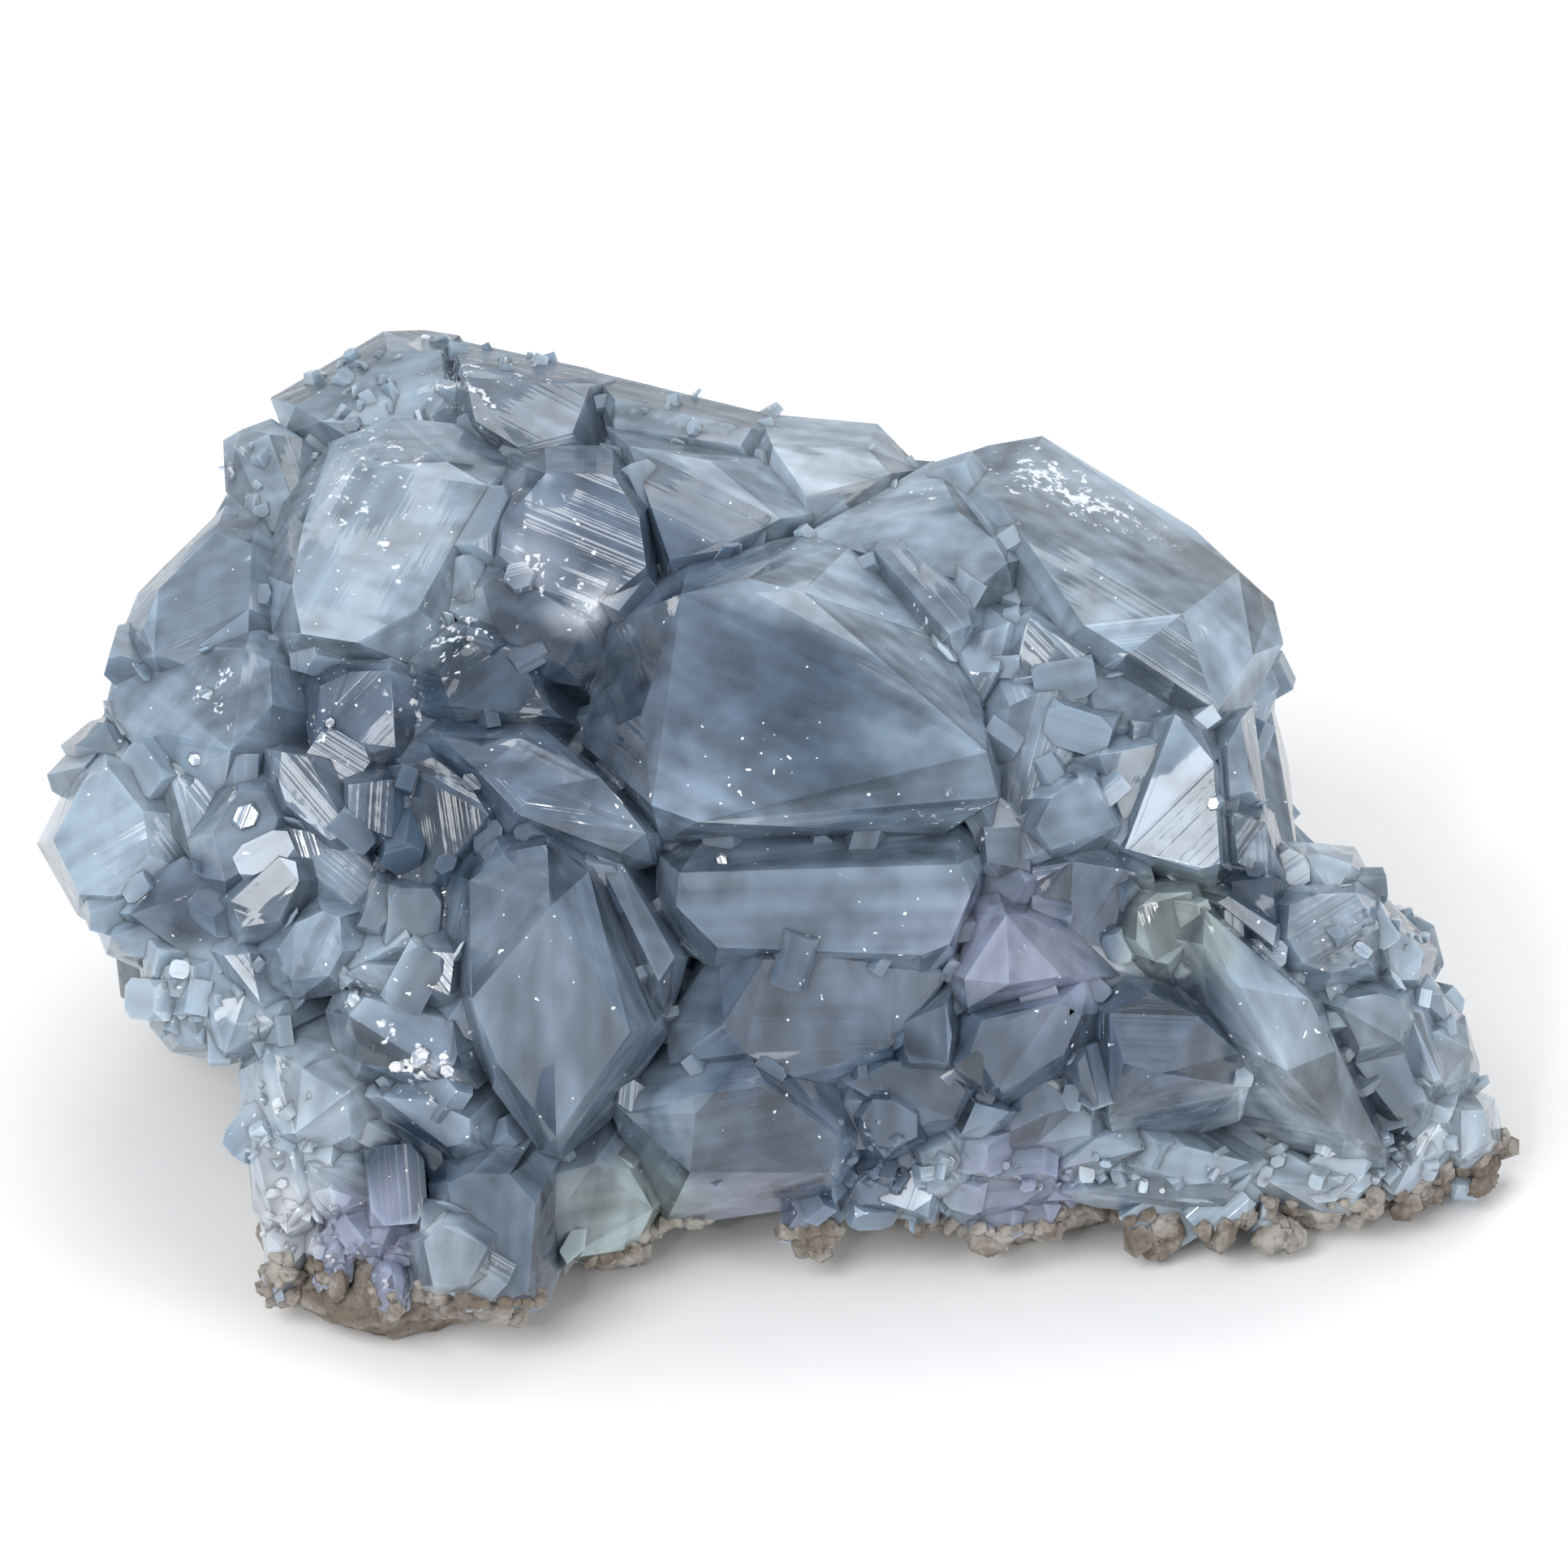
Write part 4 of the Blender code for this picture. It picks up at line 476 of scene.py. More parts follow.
@dataclass(frozen=True)
class CrystalFinish:
    """Celestite: clear glassy body, milky in places, with frosted patches and painted sparkle, growth lines,
    specks, and painted light on each facet.
    """

    refraction: float = 1.62
    clear_roughness: float = 0.06
    clear_tint: Colour = (0.93, 0.97, 1.0)
    absorbed: Colour = (0.28, 0.48, 0.70)
    density: float = 34.0
    # Colour of the frosted patches and of the painted sparkle.
    frost_and_painted_sparkle_colour: Colour = (0.64, 0.68, 0.73)
    gain: float = 1.02
    haze: float = 0.27
    drift_scale: float = 85.0
    veil_scale: float = 210.0
    fine_lines: float = 2.4
    broad_lines: float = 0.7
    speck_scale: float = 1900.0
    frost_and_painted_sparkle_scale: float = 760.0
    relief_scale: float = 1300.0
    scattered: float = 0.5
    scatter_reach: Colour = (0.7, 0.9, 1.0)
    scatter_scale: float = 0.0025

    def material(self) -> bpy.types.Material:
        """The crystals' material."""
        paint = Paint("celestite_crystal")
        at = paint.place()
        drift = paint.noise(at, self.drift_scale, 1.0)
        veil = paint.noise(paint.place((1.0, 1.6, 0.45), (0.4, 0.9, 0.3)), self.veil_scale, 2.0, 0.62)
        growth = paint.attribute("growth")
        fine = paint.lines(growth, self.fine_lines, 1.0)
        steps = paint.lines(growth, self.broad_lines, 0.0)
        specks = paint.noise(at, self.speck_scale, 0.0).above(0.87 - (drift - 0.5) * 0.3)
        # Each facet's value: painted light from a fixed direction plus a random tone.
        facet = paint.attribute("facet")
        # White patches: frosted patches, and painted sparkle where the lamp's glints fall.
        frost_and_painted_sparkle = paint.attribute("frost_and_painted_sparkle")
        grain = paint.noise(at, self.frost_and_painted_sparkle_scale, 2.0, 0.8)
        frost_and_painted_sparkle_patch = (frost_and_painted_sparkle * 0.6 + (grain - 0.5) * 2.6).ramped(0.42, 0.66) * frost_and_painted_sparkle.ramped(0.02, 0.2)
        # Body lightness: random drift and veils, growth steps, and the facet value with its painted light.
        light = (drift - 0.5) * 0.5 + (veil - 0.5) * 0.4 + facet * 0.3 + (steps - 0.5) * 0.4 + 1.0
        body = paint.scaled(paint.attribute("tone", "Color"), light * self.gain)
        white = (frost_and_painted_sparkle_patch + specks).clamped()
        body = paint.blend(white, body, self.frost_and_painted_sparkle_colour)
        relief = fine * 0.03 + steps * 0.06 + paint.noise(at, self.relief_scale, 0.0) * 0.015
        normal = paint.bump(relief, 1.0)
        # Milkier on facets that the painted light makes lighter, and on the white patches.
        milk = (paint.attribute("milk") + self.haze + (veil - 0.5) * 1.3 + facet * 0.22 + white).clamped()
        clear = paint.node(
            "ShaderNodeBsdfPrincipled",
            {},
            {
                "Base Color": solid(self.clear_tint),
                "Roughness": self.clear_roughness,
                "IOR": self.refraction,
                "Transmission Weight": 1.0,
                "Normal": normal,
            },
        )
        milky = paint.node(
            "ShaderNodeBsdfPrincipled",
            {},
            {
                "Base Color": body,
                "Roughness": (white * 0.5 + (drift - 0.5) * 0.3 + 0.14).clamped(),
                "IOR": self.refraction,
                "Subsurface Weight": self.scattered,
                "Subsurface Radius": self.scatter_reach,
                "Subsurface Scale": self.scatter_scale,
                "Normal": normal,
            },
        )
        surface = paint.node("ShaderNodeMixShader", {}, {0: milk, 1: clear, 2: milky})
        volume = paint.node(
            "ShaderNodeVolumeAbsorption", {}, {"Color": solid(self.absorbed), "Density": self.density}
        )
        return paint.finish(surface, volume)


@dataclass(frozen=True)
class RockFinish:
    """Host rock: granular grey-brown with dark pores and pale grains."""

    pale: Colour = linear(150, 146, 140)
    brown: Colour = linear(106, 96, 86)
    dark: Colour = linear(62, 54, 47)

    def material(self) -> bpy.types.Material:
        """The rock's material."""
        paint = Paint("host_rock")
        at = paint.place()
        patches = paint.noise(at, 160.0, 5.0, 0.65)
        grain = paint.noise(at, 900.0, 5.0, 0.7)
        pores = paint.node("ShaderNodeTexVoronoi", {}, {"Vector": at, "Scale": 420.0})
        colour = paint.blend(patches.ramped(0.4, 0.6), self.pale, self.brown)
        colour = paint.blend((grain - 0.5).ramped(0.02, 0.16) * 0.6, colour, self.dark)
        colour = paint.blend(pores.ramped(0.22, 0.1) * patches.ramped(0.5, 0.6), colour, self.dark)
        normal = paint.bump(grain + pores * 0.5, 0.35)
        surface = paint.node(
            "ShaderNodeBsdfPrincipled", {}, {"Base Color": colour, "Roughness": 0.92, "Normal": normal}
        )
        return paint.finish(surface)


def joined(pieces: list[bpy.types.Object]) -> bpy.types.Object:
    """Joins the pieces into the first of them."""
    bpy.ops.object.select_all(action="DESELECT")
    for piece in pieces:
        piece.select_set(True)
    bpy.context.view_layer.objects.active = pieces[0]
    bpy.ops.object.join()
    return pieces[0]


def whole(name: str) -> bpy.types.Object:
    """Ends a primitive's modelling in Edit Mode: selects everything, closes it and names it."""
    bpy.ops.mesh.select_all(action="SELECT")
    bpy.ops.mesh.convex_hull()
    bpy.ops.mesh.normals_make_consistent(inside=False)
    bpy.ops.object.mode_set(mode="OBJECT")
    bpy.context.object.name = name
    return bpy.context.object


def choose_top(obj: bpy.types.Object, height: float) -> None:
    """Selects, in Edit Mode, the vertices above that height."""
    bpy.ops.mesh.select_all(action="DESELECT")
    bpy.ops.object.mode_set(mode="OBJECT")
    for vertex in obj.data.vertices:
        vertex.select = vertex.co.z > height
    bpy.ops.object.mode_set(mode="EDIT")


def stamp(pattern: bpy.types.Object, where: Vector, turn: Matrix, size: Vector) -> bpy.types.Object:
    """A copy of the pattern with its own mesh, turned, sized and placed in the mesh itself.

    Args:
        pattern: The shape, about one metre across its own origin.
        where: Where its origin goes, in metres.
        turn: Its rotation.
        size: Its length along each of its own axes, in metres.

    Returns:
        The copy, at the origin.
    """
    made = pattern.copy()
    made.data = pattern.data.copy()
    made.data.transform(Matrix.Translation(where) @ turn.to_4x4() @ Matrix.Diagonal((*size, 1.0)))
    bpy.context.scene.collection.objects.link(made)
    return made


def spun(up: Vector, spin: float, lean: float, rng: random.Random) -> Matrix:
    """A rotation that takes +Z near to up.

    Args:
        up: The direction.
        spin: Turn about it in radians.
        lean: Widest random lean away from it in radians.
        rng: Source of the random lean.

    Returns:
        The rotation.
    """
    base = up.to_track_quat("Z", "Y").to_matrix()
    across, along = (Matrix.Rotation(rng.uniform(-lean, lean), 3, axis) for axis in "XY")
    return base @ (across @ along) @ Matrix.Rotation(spin, 3, "Z")


@dataclass
class Habits:
    """The shapes that small crystals repeat, each about one metre across."""

    bevel: float = 0.22
    roof: float = 0.45

    def build(self) -> list[bpy.types.Object]:
        """Models a chamfered block, a chisel, a six-sided plate and a splinter."""
        return [self.block(), self.chisel(), self.plate(), self.splinter()]

    def block(self) -> bpy.types.Object:
        """A block with chamfered corners."""
        bpy.ops.object.select_all(action="DESELECT")
        bpy.ops.mesh.primitive_cube_add(size=1.0)
        bpy.ops.object.mode_set(mode="EDIT")
        bpy.ops.mesh.select_all(action="SELECT")
        bpy.ops.mesh.bevel(offset=self.bevel, affect="VERTICES", segments=1)
        return whole("block")

    def chisel(self) -> bpy.types.Object:
        """A prism whose top narrows to a ridge."""
        bpy.ops.object.select_all(action="DESELECT")
        bpy.ops.mesh.primitive_cube_add(size=1.0)
        chisel = bpy.context.object
        bpy.ops.object.mode_set(mode="EDIT")
        choose_top(chisel, 0.0)
        bpy.ops.transform.resize(value=(0.3, 0.8, 1.0), center_override=(0.1, 0.0, 0.5))
        return whole("chisel")

    def plate(self) -> bpy.types.Object:
        """A six-sided plate with a slanted rim."""
        bpy.ops.object.select_all(action="DESELECT")
        bpy.ops.mesh.primitive_cylinder_add(vertices=6, radius=0.5, depth=1.0)
        plate = bpy.context.object
        bpy.ops.object.mode_set(mode="EDIT")
        choose_top(plate, 0.0)
        bpy.ops.transform.resize(value=(0.6, 0.75, 1.0), center_override=(0.05, 0.0, 0.5))
        return whole("plate")

    def splinter(self) -> bpy.types.Object:
        """A long four-sided point."""
        bpy.ops.object.select_all(action="DESELECT")
        bpy.ops.mesh.primitive_cylinder_add(vertices=5, radius=0.4, depth=1.0)
        splinter = bpy.context.object
        bpy.ops.object.mode_set(mode="EDIT")
        choose_top(splinter, 0.0)
        bpy.ops.transform.resize(value=(self.roof, 0.15, 1.0), center_override=(0.0, 0.12, 0.5))
        return whole("splinter")


@dataclass(frozen=True)
class Patch:
    """An area of the front view, in mm, over which small pieces are spread."""

    name: str
    across: float
    up: float
    wide: float
    high: float
    count: int
    least: float
    most: float


DRUSE = (
    Patch("crown left", -35, 80, 6, 4, 26, 1.0, 2.6),
    Patch("crown", -22, 84, 8, 2.5, 30, 1.0, 2.4),
    Patch("saddle", -3, 79, 10, 2, 20, 0.9, 2.2),
    Patch("saddle right", 12, 76, 6, 2, 12, 0.9, 2.2),
    Patch("left shoulder", -43, 74, 3, 5, 14, 0.9, 2.0),
    Patch("leg outside", -41, 18, 3, 9, 34, 0.8, 2.2),
    Patch("leg front", -36, 9, 6, 3, 34, 0.7, 1.9),
    Patch("left foot", -48, 29, 6, 4, 18, 1.0, 2.2),
    Patch("low front", 22, 15.5, 18, 1.4, 44, 0.8, 2.3),
    Patch("low right", 50, 17, 8, 2.4, 26, 0.8, 2.3),
    Patch("right shoulder", 52, 35, 5, 3, 18, 0.9, 2.2),
    Patch("plum pocket", 9, 16, 5, 4, 18, 0.9, 2.4),
)


@dataclass
class Casting:
    """Finds places on the surface of a piece."""

    mesh: bpy.types.Mesh
    far: float = 0.4

    def __post_init__(self) -> None:
        """Builds the search tree."""
        points = [v.co.copy() for v in self.mesh.vertices]
        self.tree = BVHTree.FromPolygons(points, [tuple(p.vertices) for p in self.mesh.polygons])

    def from_front(self, across: float, up: float) -> tuple[Vector, Vector] | None:
        """Place and outward direction of what is seen at (across, up), if anything."""
        start = VIEW.place(across, up, self.far / MM) * MM
        ahead = (VIEW.place(across, up, 0.0) * MM - start).normalized()
        return self.hit(start, ahead)

    def from_side(self, turn: float, height: float) -> tuple[Vector, Vector] | None:
        """Place and outward direction where a level ray comes in from that side."""
        start = Vector((math.cos(turn) * self.far, math.sin(turn) * self.far, height * MM))
        return self.hit(start, -Vector((start.x, start.y, 0)).normalized())

    def hit(self, start: Vector, ahead: Vector) -> tuple[Vector, Vector] | None:
        """Place and outward direction of the first face that the ray meets, if any."""
        place, normal, _, _ = self.tree.ray_cast(start, ahead)
        if place is None:
            return None
        return place, normal if normal.dot(ahead) < 0 else -normal


@dataclass
class Glints:
    """Flat broken plates that catch the small lamp."""

    lamp: Vector
    seed: int = 5
    lean: float = math.radians(1.5)
    shape: Vector = field(default_factory=lambda: Vector((1.0, 0.7, 0.45)))
    spots: tuple[tuple[float, float, float], ...] = (
        (-43.0, 45.0, 3.6),
        (-47.3, 49.6, 1.9),
        (-46.3, 55.0, 1.8),
        (-28.8, 25.2, 2.6),
        (-26.5, 24.0, 2.0),
        (-30.8, 24.4, 1.8),
        (-34.2, 29.8, 2.2),
        (-36.2, 52.6, 1.5),
        (36.4, 46.0, 1.8),
        (-4.0, 41.3, 1.6),
    )

    def build(self, casting: Casting, plate: bpy.types.Object) -> list[bpy.types.Object]:
        """Models a plate at each spot, turned half-way between the front view and the small lamp.

        Args:
            casting: Finds the surface that the plates lie on.
            plate: The shape to repeat.

        Returns:
            The plates.
        """
        rng = random.Random(self.seed)
        made = []
        for across, up, size in self.spots:
            found = casting.from_front(across, up)
            if found is None:
                continue
            place = found[0]
            half = (VIEW.eye() - place).normalized() + (self.lamp - place).normalized()
            turn = spun(half.normalized(), rng.uniform(0, math.tau), self.lean, rng)
            made.append(stamp(plate, place, turn, self.shape * size * MM))
        return made


@dataclass
class Druse:
    """Tiny crystals in patches over the surface."""

    seed: int = 23
    sunk: float = 0.2
    lean: float = math.radians(42)

    def build(self, casting: Casting, habits: list[bpy.types.Object]) -> list[bpy.types.Object]:
        """Models the tiny crystals of every patch.

        Args:
            casting: Finds the surface that they grow on.
            habits: The shapes to repeat.

        Returns:
            The tiny crystals.
        """
        rng = random.Random(self.seed)
        made = []
        for patch in DRUSE:
            for _ in range(patch.count):
                spot = (rng.gauss(patch.across, patch.wide / 2), rng.gauss(patch.up, patch.high / 2))
                found = casting.from_front(*spot)
                length = rng.uniform(patch.least, patch.most)
                shape = Vector((rng.uniform(0.5, 1.0), rng.uniform(0.5, 0.9), rng.uniform(0.8, 1.3)))
                turn_by = rng.uniform(0, math.tau)
                habit = rng.choice(habits)
                if found is None or found[0].z < length * MM:
                    continue
                turn = spun(found[1], turn_by, self.lean, rng)
                place = found[0] - found[1] * self.sunk * length * MM
                made.append(stamp(habit, place, turn, shape * length * MM))
        return made


@dataclass
class Crust:
    """Broken grains of rock round the foot."""

    seed: int = 31
    step: float = math.radians(1.05)
    rows_mm: tuple[tuple[float, float], ...] = ((1.2, 3.2), (2.6, 3.0), (4.0, 2.6), (5.2, 1.9))
    leg_row_mm: tuple[tuple[float, float], ...] = ((6.4, 2.2), (7.6, 1.7))
    leg_turns: tuple[float, float] = (math.radians(222), math.radians(246))
    missing: float = 0.12
    lean: float = 0.6
    held_up: float = 0.62
    jag: float = 0.22
    jag_seed: int = 4

    def grain(self) -> bpy.types.Object:
        """One angular grain, about a metre across."""
        bpy.ops.object.select_all(action="DESELECT")
        bpy.ops.mesh.primitive_ico_sphere_add(subdivisions=1, radius=0.5)
        bpy.ops.object.mode_set(mode="EDIT")
        bpy.ops.mesh.select_all(action="SELECT")
        bpy.ops.transform.vertex_random(offset=self.jag, seed=self.jag_seed)
        return whole("grain")

    def build(self, casting: Casting) -> list[bpy.types.Object]:
        """Models the grains in rows round the foot, higher up on the leg.

        Args:
            casting: Finds the surface that the grains lie against.

        Returns:
            The grains.
        """
        rng = random.Random(self.seed)
        grain = self.grain()
        made = []
        for index in range(round(math.tau / self.step)):
            turn = index * self.step
            on_leg = self.leg_turns[0] < turn < self.leg_turns[1]
            for height, size in self.rows_mm + (self.leg_row_mm if on_leg else ()):
                lift = rng.uniform(-0.5, 0.5)
                found = casting.from_side(turn + rng.uniform(-0.5, 0.5) * self.step, height + lift)
                size *= rng.uniform(0.55, 1.2)
                if rng.random() < self.missing * height / 4 or found is None:
                    continue
                shape = Vector((rng.uniform(0.7, 1.3), rng.uniform(0.7, 1.3), rng.uniform(0.6, 1.0)))
                place = found[0].copy()
                place.z = max(place.z, size * self.held_up * MM)
                facing = spun(found[1], rng.uniform(0, math.tau), self.lean, rng)
                made.append(stamp(grain, place, facing, shape * size * MM))
        bpy.data.objects.remove(grain)
        return made


@dataclass
class Infill:
    """Small crystals that grew in the grooves between the large ones."""

    seed: int = 11
    spacing_mm: float = 4.2
    least_mm: float = 2.6
    most_mm: float = 7.0
    sunk: float = 0.19
    shares: tuple[int, ...] = (2, 5, 1, 3)
    groove: float = math.radians(28)
    lean: float = math.radians(26)

    def build(self, host: bpy.types.Object, habits: list[bpy.types.Object]) -> list[bpy.types.Object]:
        """Models the small crystals along the host's grooves.

        Args:
            host: The large crystals, as one mesh with flat faces.
            habits: The shapes to repeat.

        Returns:
            The small crystals.
        """
        rng = random.Random(self.seed)
        taken: list[Vector] = []
        made = []
        for where, outward, along in self.grooves(host.data):
            apart = self.spacing_mm * MM * rng.uniform(0.7, 1.5)
            if any((where - other).length < apart for other in taken):
                continue
            taken.append(where)
            length = self.least_mm + (self.most_mm - self.least_mm) * rng.random() ** 1.8
            size = Vector((length, length * rng.uniform(0.5, 0.85), length * rng.uniform(0.7, 1.1))) * MM
            turn = self.turn(outward, along, rng)
            place = where - outward * self.sunk * size.z
            (habit,) = rng.choices(habits, self.shares)
            made.append(stamp(habit, place, turn, size))
        return made

    def turn(self, outward: Vector, along: Vector, rng: random.Random) -> Matrix:
        """A rotation with +Z near to outward, and +X more or less along the groove.

        Args:
            outward: The direction out of the groove.
            along: The direction along it.
            rng: Source of the random lean.

        Returns:
            The rotation.
        """
        across = outward.cross(along).normalized()
        base = Matrix((along, across, outward)).transposed()
        spins = [
            Matrix.Rotation(rng.gauss(0, 0.5) * self.lean, 3, "X"),
            Matrix.Rotation(rng.gauss(0, 0.5) * self.lean, 3, "Y"),
            Matrix.Rotation(rng.gauss(0, 0.45), 3, "Z"),
        ]
        return base @ spins[0] @ spins[1] @ spins[2]

    def grooves(self, mesh: bpy.types.Mesh) -> list[tuple[Vector, Vector, Vector]]:
        """Places along the concave edges, the deepest first.

        Args:
            mesh: The host's mesh.

        Returns:
            Place, outward direction and direction along the edge.
        """
        found = []
        work = bmesh.new()
        work.from_mesh(mesh)
        for edge in work.edges:
            if len(edge.link_faces) != 2 or edge.calc_face_angle_signed(0.0) > -self.groove:
                continue
            outward = (edge.link_faces[0].normal + edge.link_faces[1].normal).normalized()
            first, second = (v.co for v in edge.verts)
            steps = max(1, round((second - first).length / (self.spacing_mm * MM)))
            along = (second - first).normalized()
            depth = edge.calc_face_angle_signed(0.0)
            for step in range(steps):
                spot = first.lerp(second, (step + 0.5) / steps)
                if spot.z > self.least_mm * MM * 1.6:
                    found.append((depth, spot.copy(), outward, along))
        work.free()
        found.sort(key=lambda item: (item[0], *item[1]))
        return [item[1:] for item in found]


@dataclass
class Crystals:
    """The crystals grown together."""

    cuts: int = 1
    flat: float = math.radians(0.6)
    edge: float = math.radians(14)
    edge_wear_mm: float = 0.07
    chip_mm: float = 0.06
    chip_size_mm: float = 2.4
    facet_seed: int = 3
    facet_painted_light: float = 0.25
    facet_dim: float = 0.12
    facet_spread: float = 0.42
    lightest_large: float = 0.75
    lightest_small: float = 0.45
    widest_offset_mm: float = 400
    small_milk: float = 0.35
    back_weight: float = 0.02
    falloff: float = 2.2
    # Direction of the painted light that lightens the facets facing it.
    painted_light_from: Vector = field(default_factory=lambda: Vector((-0.45, -0.25, 0.85)).normalized())

    def build(self) -> bpy.types.Object:
        """Models the crystals' worn edges and the small ones between them, and paints their tones."""
        piece = copied("celestite", "crystals")
        applied(piece, "DECIMATE", decimate_type="DISSOLVE", angle_limit=self.flat)
        habits = Habits().build()
        casting = Casting(piece.data)
        small = Infill().build(piece, habits) + Druse().build(casting, habits)
        small += Glints(Vector(SPARK)).build(casting, habits[2])
        for habit in habits:
            bpy.data.objects.remove(habit)
        LOG.info("small crystals: %d", len(small))
        between = joined(small)
        self.shade_facets(piece.data, self.lightest_large)
        self.shade_facets(between.data, self.lightest_small)
        applied(
            piece, "BEVEL", width=self.edge_wear_mm * MM, segments=1, limit_method="ANGLE",
            angle_limit=self.edge, use_clamp_overlap=True,
        )
        applied(piece, "TRIANGULATE")
        applied(piece, "SUBSURF", subdivision_type="SIMPLE", levels=self.cuts, render_levels=self.cuts)
        large = len(piece.data.vertices)
        joined([piece, between])
        roughened(piece, Noise.LUMPS, self.chip_size_mm, self.chip_mm)
        self.paint(piece.data, large)
        bpy.ops.object.shade_smooth_by_angle(angle=self.edge)
        piece.data.materials.clear()
        piece.data.materials.append(CrystalFinish().material())
        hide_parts("celestite")
        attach(piece, "root")
        return piece

    def shade_facets(self, mesh: bpy.types.Mesh, lightest: float) -> None:
        """Stores how much lighter or darker each facet is, as painted light from a fixed direction plus a
        random tone, and the distance across its growth lines.

        Args:
            mesh: The mesh, whose facets are still whole.
            lightest: The most that a facet is lightened.
        """
        rng = random.Random(self.facet_seed)
        lit, dim, spread = self.facet_painted_light, self.facet_dim, self.facet_spread
        # Painted light: facets facing the fixed direction are lighter and those facing away darker, beside a
        # random spread of tone.
        shares = [
            lit * facet.normal.dot(self.painted_light_from) - dim + rng.gauss(0, spread) for facet in mesh.polygons
        ]
        held = np.clip(np.array(shares, np.float32), -1, lightest)
        mesh.attributes.new("facet", "FLOAT", "FACE").data.foreach_set("value", held)
        lines = mesh.attributes.new("growth", "FLOAT", "CORNER").data
        for facet in mesh.polygons:
            corners = [mesh.vertices[index].co for index in facet.vertices]
            sides = [after - before for before, after in zip(corners, corners[1:] + corners[:1])]
            across = max(sides, key=lambda side: side.length).cross(facet.normal).normalized()
            offset = rng.uniform(0, self.widest_offset_mm)
            for corner, point in zip(facet.loop_indices, corners):
                lines[corner].value = point.dot(across) / MM + offset

    def paint(self, mesh: bpy.types.Mesh, large: int) -> None:
        """Stores the tone, with painted shade in the cavity and on the shadowed blocks, the milkiness, and
        the frosted patches with painted sparkle at each vertex.

        Args:
            mesh: The finished mesh.
            large: How many of its vertices belong to the large crystals; the later ones are milkier.
        """
        seen = VIEW.seen(points_of(mesh))
        weights = np.full((len(seen), 1), self.back_weight)
        colours = np.array([BACK_TONE.hue.value])
        milks = np.array([BACK_TONE.milk])
        facing = front_share(seen)
        for tone in TONES:
            away = np.hypot(seen[:, 0] - tone.across, seen[:, 1] - tone.up) / tone.reach
            weights = np.c_[weights, np.exp(-self.falloff * away**2) * facing]
            colours = np.vstack((colours, tone.hue.value))
            milks = np.append(milks, tone.milk)
        weights = weights**2
        weights /= weights.sum(axis=1, keepdims=True)
        put_values(mesh, "tone", weights @ colours)
        milk = weights @ milks
        milk[large:] += self.small_milk
        put_values(mesh, "milk", milk)
        # Frosted patches and painted sparkle, both white.
        frost_and_painted_sparkle = np.zeros(len(seen))
        for spot in FROST_AND_PAINTED_SPARKLE:
            away = np.hypot(seen[:, 0] - spot.across, seen[:, 1] - spot.up) / spot.reach
            frost_and_painted_sparkle = np.maximum(frost_and_painted_sparkle, spot.share * np.clip(1.3 - away, 0, 1) * facing)
        put_values(mesh, "frost_and_painted_sparkle", frost_and_painted_sparkle)


def front_share(seen: np.ndarray) -> np.ndarray:
    """How far each point belongs to the front of the mound: 1 in front, easing to 0 at the back.

    Args:
        seen: Rows of (across, up, out) in mm.

    Returns:
        One share for each row.
    """
    surface = np.interp(seen[:, 1], (6, 20, 32, 44, 60, 78, 88), (-14, -1, 6, 8, 2, -13, -28))
    surface -= 26 * (1 - np.sqrt(1 - np.minimum(0.96, (seen[:, 0] / 62) ** 2)))
    return np.clip((seen[:, 2] - surface + 16) / 10, 0, 1)


@dataclass
class Rock:
    """The rind of host rock, whose grains lie against what is around it."""

    around: bpy.types.Object
    cuts: int = 3
    lump_mm: float = 1.5
    grain_mm: float = 0.8
    lump_size_mm: float = 3.2
    grain_size_mm: float = 1.3
    foot_mm: float = 0.5
    foot_ease_mm: float = 1.2
    group: str = "side"

    def build(self) -> bpy.types.Object:
        """Models the rock's broken side and dresses it; the foot stays flat."""
        piece = copied("matrix", "host_rock")
        grains = Crust().build(Casting(self.around.data))
        LOG.info("rock grains: %d", len(grains))
        applied(piece, "SUBSURF", subdivision_type="SIMPLE", levels=self.cuts, render_levels=self.cuts)
        side = piece.vertex_groups.new(name=self.group)
        heights = points_of(piece.data)[:, 2] / MM
        share = np.clip((heights - self.foot_mm) / self.foot_ease_mm, 0, 1)
        for index in np.flatnonzero(share > 0):
            side.add([int(index)], float(share[index]), "REPLACE")
        roughened(piece, Noise.LUMPS, self.lump_size_mm, self.lump_mm, self.group)
        roughened(piece, Noise.GRAINS, self.grain_size_mm, self.grain_mm, self.group)
        joined([piece, *grains])
        bpy.ops.object.shade_flat()
        piece.data.materials.clear()
        piece.data.materials.append(RockFinish().material())
        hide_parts("matrix")
        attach(piece, "root")
        return piece


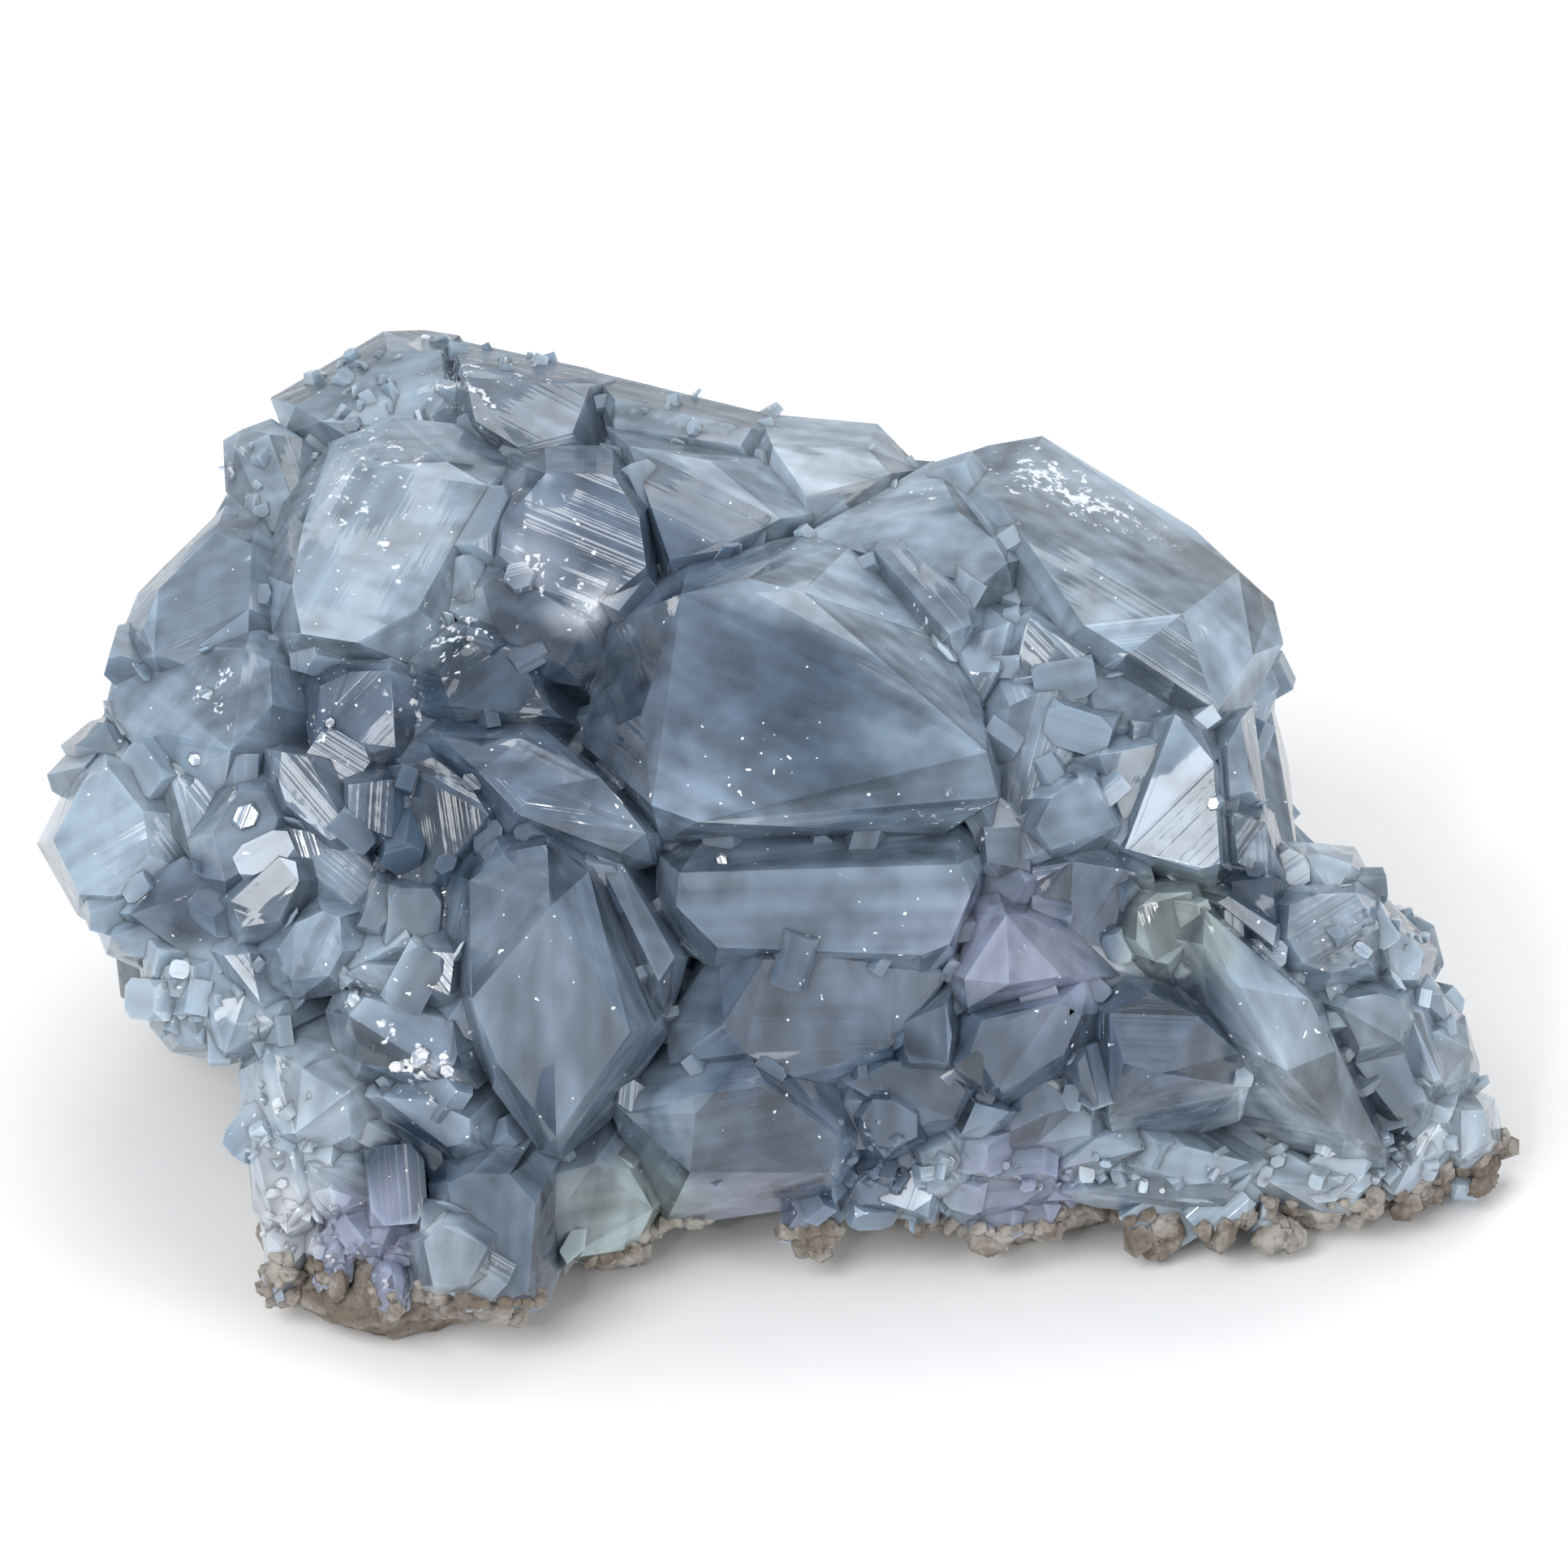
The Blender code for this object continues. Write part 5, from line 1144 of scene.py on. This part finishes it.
@dataclass
class Studio:
    """The pale floor, the soft lights and the camera."""

    floor_side: float = 6.0
    floor_height: float = -0.0002
    aim: tuple[float, float, float] = (0, 0, 0.03)
    nearest: float = 0.01
    floor_colour: Colour = (0.86, 0.86, 0.86)
    sky: Colour = (0.97, 0.98, 1.0)
    sky_strength: float = 0.7
    lamps: list[tuple[str, Colour, float, float]] = field(
        default_factory=lambda: [
            ("key", (-0.55, -0.8, 0.9), 0.7, 10.0),
            ("fill", (0.85, -0.9, 0.35), 0.8, 7.5),
            ("top", (0.15, 0.35, 1.1), 0.7, 3.5),
            ("spark", SPARK, 0.08, 2.4),
        ]
    )

    def build(self) -> None:
        """Makes the floor, the lamps, the world and the camera."""
        bpy.ops.object.select_all(action="DESELECT")
        bpy.ops.mesh.primitive_plane_add(size=self.floor_side, location=(0, 0, self.floor_height))
        floor = bpy.context.object
        floor.name = "floor"
        paint = Paint("pale_floor")
        inputs = {"Base Color": solid(self.floor_colour), "Roughness": 0.9}
        floor.data.materials.append(paint.finish(paint.node("ShaderNodeBsdfPrincipled", {}, inputs)))
        for name, where, size, power in self.lamps:
            self.lamp(name, Vector(where), size, power)
        world = bpy.data.worlds.new("studio")
        world.use_nodes = True
        background = world.node_tree.nodes["Background"]
        background.inputs["Color"].default_value = solid(self.sky)
        background.inputs["Strength"].default_value = self.sky_strength
        bpy.context.scene.world = world
        bpy.context.scene.view_settings.view_transform = "Standard"
        self.camera()

    def lamp(self, name: str, where: Vector, size: float, power: float) -> None:
        """Adds a square lamp that looks at the cluster.

        Args:
            name: Its name.
            where: Its place in metres.
            size: Its side in metres.
            power: Its power in watts.
        """
        light = bpy.data.lights.new(name, "AREA")
        light.size = size
        light.energy = power
        holder = bpy.data.objects.new(name, light)
        holder.location = where
        holder.rotation_euler = (Vector(self.aim) - where).to_track_quat("-Z", "Y").to_euler()
        bpy.context.scene.collection.objects.link(holder)

    def camera(self) -> None:
        """Adds the camera for the front view."""
        target = VIEW.place(*VIEW.centre, 0.0) * MM
        lens = bpy.data.cameras.new("camera")
        lens.sensor_width = VIEW.sensor
        lens.lens = VIEW.sensor * VIEW.distance / VIEW.width
        lens.clip_start = self.nearest
        holder = bpy.data.objects.new("camera", lens)
        holder.location = VIEW.eye()
        holder.rotation_euler = (target - VIEW.eye()).to_track_quat("-Z", "Y").to_euler()
        bpy.context.scene.collection.objects.link(holder)
        bpy.context.scene.camera = holder


def main() -> None:
    """Builds every piece in order and reports it."""
    logging.basicConfig(level=logging.INFO, format="%(message)s")
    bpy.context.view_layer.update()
    crystals = Crystals().build()
    rock = Rock(crystals).build()
    for piece in (crystals, rock):
        LOG.info("%s: %d faces", piece.name, len(piece.data.polygons))
    Studio().build()


if __name__ == "__main__":
    main()
